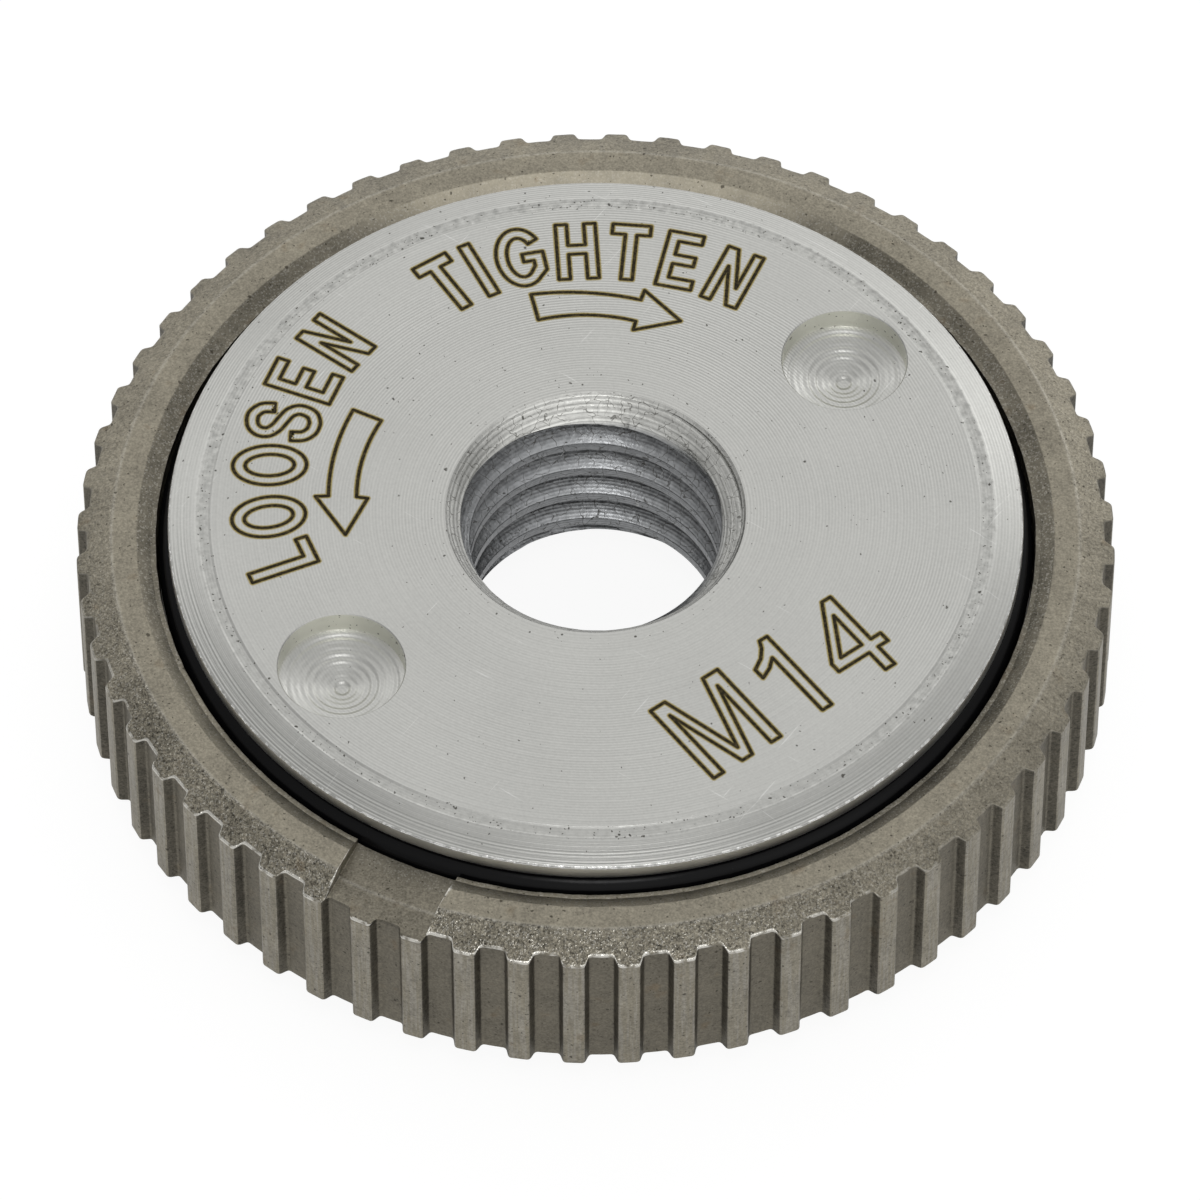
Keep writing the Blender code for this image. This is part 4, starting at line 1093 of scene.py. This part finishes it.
marks = {
    "letterHeight": 3.36, "height": 12.652, "lineWidth": 0.39, "lineHeight": 0.004,
    # each letter's foot, and the direction in which it stands up
    "tighten": [("T", -6.22, 12.29, 123.5), ("I", -4.89, 13.05, 116.8), ("G", -3.30, 13.66, 101.5),
                ("H", -0.80, 14.01, 93.5), ("T", 1.48, 13.96, 85), ("E", 3.69, 13.50, 77), ("N", 5.90, 12.57, 65.5)],
    "loosen": [("L", -13.42, -2.22, 202.5), ("O", -13.88, -0.03, 190.5), ("O", -13.86, 2.79, 182),
               ("S", -13.27, 5.12, 172.5), ("E", -12.44, 7.16, 158.3), ("N", -11.15, 9.12, 143.3)],
    "size": [("M", -0.03), ("1", 5.34), ("4", 8.4)], "sizePlace": (5.54, -15.54, 37.4),
}


def strokeOutline(points, width):
    line = curvedLine(points)
    left, right = [], []
    for i, point in enumerate(line):
        way = line[min(i + 1, len(line) - 1)] - line[max(i - 1, 0)]
        side = np.array((-way[1], way[0])) / np.linalg.norm(way) * width / 2
        left.append(tuple(point + side))
        right.append(tuple(point - side))
    return left + right[::-1]


def glyphOutlines():
    h = marks["letterHeight"]
    glyphs = {
        "T": [[(-.93, h), (.93, h), (.93, h - .6), (.28, h - .6), (.28, 0), (-.28, 0), (-.28, h - .6), (-.93, h - .6)]],
        "I": [[(-.27, 0), (-.27, h), (.27, h), (.27, 0)]],
        "H": [[(-.97, 0), (-.97, h), (-.42, h), (-.42, 2.06), (.42, 2.06), (.42, h), (.97, h), (.97, 0), (.42, 0),
               (.42, 1.52), (-.42, 1.52), (-.42, 0)]],
        "E": [[(-.85, 0), (-.85, h), (.85, h), (.85, h - .55), (-.3, h - .55), (-.3, 1.98), (.72, 1.98), (.72, 1.42),
               (-.3, 1.42), (-.3, .55), (.9, .55), (.9, 0)]],
        "N": [[(-.93, 0), (-.93, h), (-.4, h), (.44, 1.12), (.44, h), (.93, h), (.93, 0), (.4, 0), (-.44, 2.24),
               (-.44, 0)]],
        "L": [[(-.8, 0), (-.8, h), (-.25, h), (-.25, .55), (.8, .55), (.8, 0)]],
        "M": [[(0, 0), (0, 4.85), (.85, 4.85), (1.97, .72), (3.1, 4.85), (3.97, 4.85), (3.97, 0), (3.4, 0), (3.4, 4.1),
               (2.27, 0), (1.68, 0), (.57, 4.1), (.57, 0)]],
        "1": [[(1.07, 0), (1.63, 0), (1.63, 4.95), (1.19, 4.95), (1.0, 4.55), (.6, 4.1), (0, 3.75), (0, 3.15),
               (.6, 3.42), (1.07, 3.82)]],
        "4": [[(1.86, 4.95), (2.37, 4.95), (2.37, 1.86), (2.95, 1.86), (2.95, 1.3), (2.37, 1.3), (2.37, .05),
               (1.82, .05), (1.82, 1.28), (0, 1.28), (0, 1.82)], [(1.82, 4.0), (1.82, 1.86), (.57, 1.86)]],
    }
    middle = (0, h / 2)
    glyphs["O"] = [ovalPoints(middle, 1.17, 1.76, 0, 360, 64)[:-1], ovalPoints(middle, 0.64, 1.17, 0, 360, 48)[:-1]]
    glyphs["G"] = [ovalPoints(middle, 1.17, 1.76, 34, 312, 44)
                   + [(1.12, .72), (1.12, 1.86), (.1, 1.86), (.1, 1.38), (.6, 1.38), (.6, 1.05)]
                   + ovalPoints(middle, .64, 1.2, -42, -322, 36)]
    glyphs["S"] = [strokeOutline([
        (.78, 2.2), (.70, 2.75), (.36, 3.1), (0, 3.18), (-.45, 3.06), (-.72, 2.72), (-.70, 2.3), (-.38, 1.96),
        (.12, 1.70), (.60, 1.40), (.80, .95), (.62, .42), (.3, .22), (0, .17), (-.42, .28), (-.74, .64), (-.82, 1.2)],
        .53)]
    return glyphs


def placeLoops(loops, x, y, up, shift=0.0):
    turn = math.radians(up)
    upWay, rightWay = np.array((math.cos(turn), math.sin(turn))), np.array((math.sin(turn), -math.cos(turn)))
    return [[(x, y) + (px + shift) * rightWay + py * upWay for px, py in loop] for loop in loops]


def arcThrough(a, b, c, steps=12):
    a, b, c = (np.array(p, float) for p in (a, b, c))
    d = 2 * (a[0] * (b[1] - c[1]) + b[0] * (c[1] - a[1]) + c[0] * (a[1] - b[1]))
    x = ((a @ a) * (b[1] - c[1]) + (b @ b) * (c[1] - a[1]) + (c @ c) * (a[1] - b[1])) / d
    y = ((a @ a) * (c[0] - b[0]) + (b @ b) * (a[0] - c[0]) + (c @ c) * (b[0] - a[0])) / d
    start, end = math.atan2(a[1] - y, a[0] - x), math.atan2(c[1] - y, c[0] - x)
    end = start + (end - start + math.pi) % math.tau - math.pi
    radius = math.hypot(a[0] - x, a[1] - y)
    return [(x + radius * math.cos(t), y + radius * math.sin(t)) for t in np.linspace(start, end, steps + 1)]


def strokeShape(loops):
    # each closed outline becomes a flat stroke: its middle line, and on both sides an edge, round at outer corners
    points, faces, across = [], [], []
    half = marks["lineWidth"] / 2

    def addPoint(place, edge):
        points.append((place[0], place[1], marks["height"]))
        across.append(edge)
        return len(points) - 1

    for loop in loops:
        corners = np.array(loop, float)
        corners = corners[np.linalg.norm(corners - np.roll(corners, 1, 0), axis=1) > 0.004]
        ways = np.roll(corners, -1, 0) - corners
        ways /= np.linalg.norm(ways, axis=1)[:, None]
        middles = [addPoint(corner, 0.0) for corner in corners]
        for side in (1, -1):
            starts, ends = [], []
            for i, corner in enumerate(corners):
                before, after = ways[i - 1], ways[i]
                normals = [side * np.array((-way[1], way[0])) for way in (before, after)]
                bend = side * (before[0] * after[1] - before[1] * after[0])
                if bend > -0.05:                     # inner corner, or nearly straight
                    joint = normals[0] + normals[1]
                    mitre = addPoint(corner + joint * half * 2 / (joint @ joint), 1.0)
                    ends.append(mitre)
                    starts.append(mitre)
                else:
                    (x, y), (nextX, nextY) = normals
                    turn = math.atan2(x * nextY - y * nextX, x * nextX + y * nextY)
                    steps = max(1, int(abs(turn) / 0.35))
                    fan = [addPoint(corner + half * np.array(rotated(x, y, turn * step / steps)), 1.0)
                           for step in range(steps + 1)]
                    faces += [[middles[i], fan[k], fan[k + 1]] for k in range(steps)]
                    ends.append(fan[0])
                    starts.append(fan[-1])
            for i in range(len(corners)):
                j = (i + 1) % len(corners)
                faces.append([middles[i], middles[j], ends[j], starts[i]])
    return np.array(points), faces, across


def makeMark(name, loops):
    points, faces, across = strokeShape(loops)
    mesh = bpy.data.meshes.new(name)
    mesh.from_pydata((points * mm).tolist(), [], faces)
    mesh.attributes.new("across", "FLOAT", "POINT").data.foreach_set("value", across)
    bm = bmesh.new()
    bm.from_mesh(mesh)
    bmesh.ops.recalc_face_normals(bm, faces=bm.faces)
    if sum(face.normal.z for face in bm.faces) < 0:
        bmesh.ops.reverse_faces(bm, faces=bm.faces)
    bm.to_mesh(mesh)
    bm.free()
    mesh.materials.append(laserMark)
    piece = addObject(name, mesh)
    plate = piece.modifiers.new("plate", "SOLIDIFY")
    plate.thickness = marks["lineHeight"] * mm
    plate.offset = -1
    piece = settle(piece)
    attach(piece, "hub")


glyphs = glyphOutlines()
tightenArrow = (arcThrough((-3.12, 13.05), (-.75, 13.17), (2.18, 12.71)) + [(2.36, 13.3), (4.09, 11.42), (1.8, 10.88)]
                + arcThrough((1.93, 11.42), (-.28, 11.79), (-2.76, 11.5)))
loosenArrow = (arcThrough((-11.6, 6.05), (-12.54, 3.02), (-12.71, .9)) + [(-13.33, .87), (-11.87, -1.4), (-10.84, .76)]
               + arcThrough((-11.37, .84), (-11.14, 3.02), (-10.25, 5.4)))
for markName, word, arrow in (("tightenMark", "tighten", tightenArrow), ("loosenMark", "loosen", loosenArrow)):
    letters = [placeLoops(glyphs[name], x, y, up) for name, x, y, up in marks[word]]
    makeMark(markName, sum(letters, []) + [arrow])
sizeX, sizeY, sizeTurn = marks["sizePlace"]
letters = [placeLoops(glyphs[name], sizeX, sizeY, sizeTurn + 90, shift) for name, shift in marks["size"]]
makeMark("threadSizeMark", sum(letters, []))
print("marks made")


# floor, light and camera

studio = {
    "floorSize": 4.0, "floorDrop": 0.01, "floorColour": (0.70, 0.70, 0.70), "floorRoughness": 0.9,
    "floorWhite": 0.80, "floorStrength": 1.14, "floorInMetal": 0.345,
    "cameraElevation": 53.70, "cameraDistance": 506.76, "target": (0.207, 0.0, 11.2), "drop": -3.367,
    "lens": 319.2, "sensor": 36,
    "sky": 0.34,                 # everywhere, with patches over it: azimuth, elevation, sharpness, strength
    "skyPatches": [(90, 42, 3.5, 0.50), (90, 12, 6.0, 0.30), (56, 26, 12.0, 0.34), (270, 63, 9.0, 0.30),
                   (270, 32, 16.0, 0.50), (322, 38, 9.0, 0.65), (222, 32, 9.0, 0.25)],
    "lampDistance": 0.8,         # lamps: name, azimuth, elevation, size, power
    "lamps": [("keyLamp", 54, 30, 0.24, 0.16), ("fillLamp", 128, 40, 0.30, 0.15), ("frontLamp", 272, 67, 0.20, 0.42)],
}
white = (1, 1, 1, 1)


def aimed(azimuth, elevation):
    rise = math.radians(elevation)
    return tuple(polar(math.cos(rise), azimuth, math.sin(rise)))


def seenDirectly(tree):
    rays = addNode(tree, "LightPath").outputs
    return larger(Field(rays["Is Camera Ray"]), Field(rays["Is Transmission Ray"]))


def makeFloor():
    # a matt floor, which the camera and the polished steel see brighter than the light alone makes it
    half = studio["floorSize"] / 2
    mesh = bpy.data.meshes.new("studioFloor")
    mesh.from_pydata([(-half, -half, 0), (half, -half, 0), (half, half, 0), (-half, half, 0)], [], [(0, 1, 2, 3)])
    floor = addObject("studioFloor", mesh)
    material, tree = newMaterial("studioFloor")
    matt = output(tree, "BsdfPrincipled", 0, {
        "Base Color": (*studio["floorColour"], 1), "Roughness": studio["floorRoughness"]})
    glossy = output(tree, "LightPath", "Is Glossy Ray")
    seen = larger(seenDirectly(tree) * studio["floorWhite"], glossy * studio["floorInMetal"])
    glow = output(tree, "Emission", 0, {"Color": white, "Strength": studio["floorStrength"]})
    addNode(tree, "OutputMaterial", {0: output(tree, "MixShader", 0, {0: seen, 1: matt, 2: glow})})
    mesh.materials.append(material)
    floor.location.z = -studio["floorDrop"] * mm


def makeWorld():
    world = bpy.data.worlds.new("studioWorld")
    bpy.context.scene.world = world
    world.use_nodes = True
    tree = world.node_tree
    tree.nodes.clear()
    way = vectorMath("NORMALIZE", output(tree, "TexCoord", "Generated"))
    sky = studio["sky"]
    for azimuth, elevation, sharpness, strength in studio["skyPatches"]:
        near = towards(way, aimed(azimuth, elevation))
        sky = calc("EXPONENT", (near - 1.0) * sharpness) * strength + sky
    light = output(tree, "Background", 0, {"Color": white, "Strength": sky})
    backdrop = output(tree, "Background", 0, {"Color": white, "Strength": 1.0})
    addNode(tree, "OutputWorld", {0: output(tree, "MixShader", 0, {0: seenDirectly(tree), 1: light, 2: backdrop})})


def addLamp(name, azimuth, elevation, size, power):
    lamp = bpy.data.lights.new(name, "AREA")
    lamp.shape = "DISK"
    lamp.size = size
    lamp.energy = power
    holder = addObject(name, lamp)
    holder.location = Vector(aimed(azimuth, elevation)) * studio["lampDistance"]
    holder.rotation_euler = (-holder.location).to_track_quat("-Z", "Y").to_euler()


def makeCamera():
    data = bpy.data.cameras.new("photoCamera")
    camera = addObject("photoCamera", data)
    tilt = math.radians(studio["cameraElevation"])
    back, up = Vector((0, -math.cos(tilt), math.sin(tilt))), Vector((0, math.sin(tilt), math.cos(tilt)))
    place = Vector(studio["target"]) + back * studio["cameraDistance"] + up * studio["drop"]
    camera.location = place * mm
    camera.rotation_euler = (math.radians(90) - tilt, 0, 0)
    data.lens = studio["lens"]
    data.sensor_width = studio["sensor"]
    data.clip_start, data.clip_end = 0.01, 10
    bpy.context.scene.camera = camera


makeFloor()
makeWorld()
for lamp in studio["lamps"]:
    addLamp(*lamp)
makeCamera()
bpy.context.scene.view_settings.view_transform = "Standard"
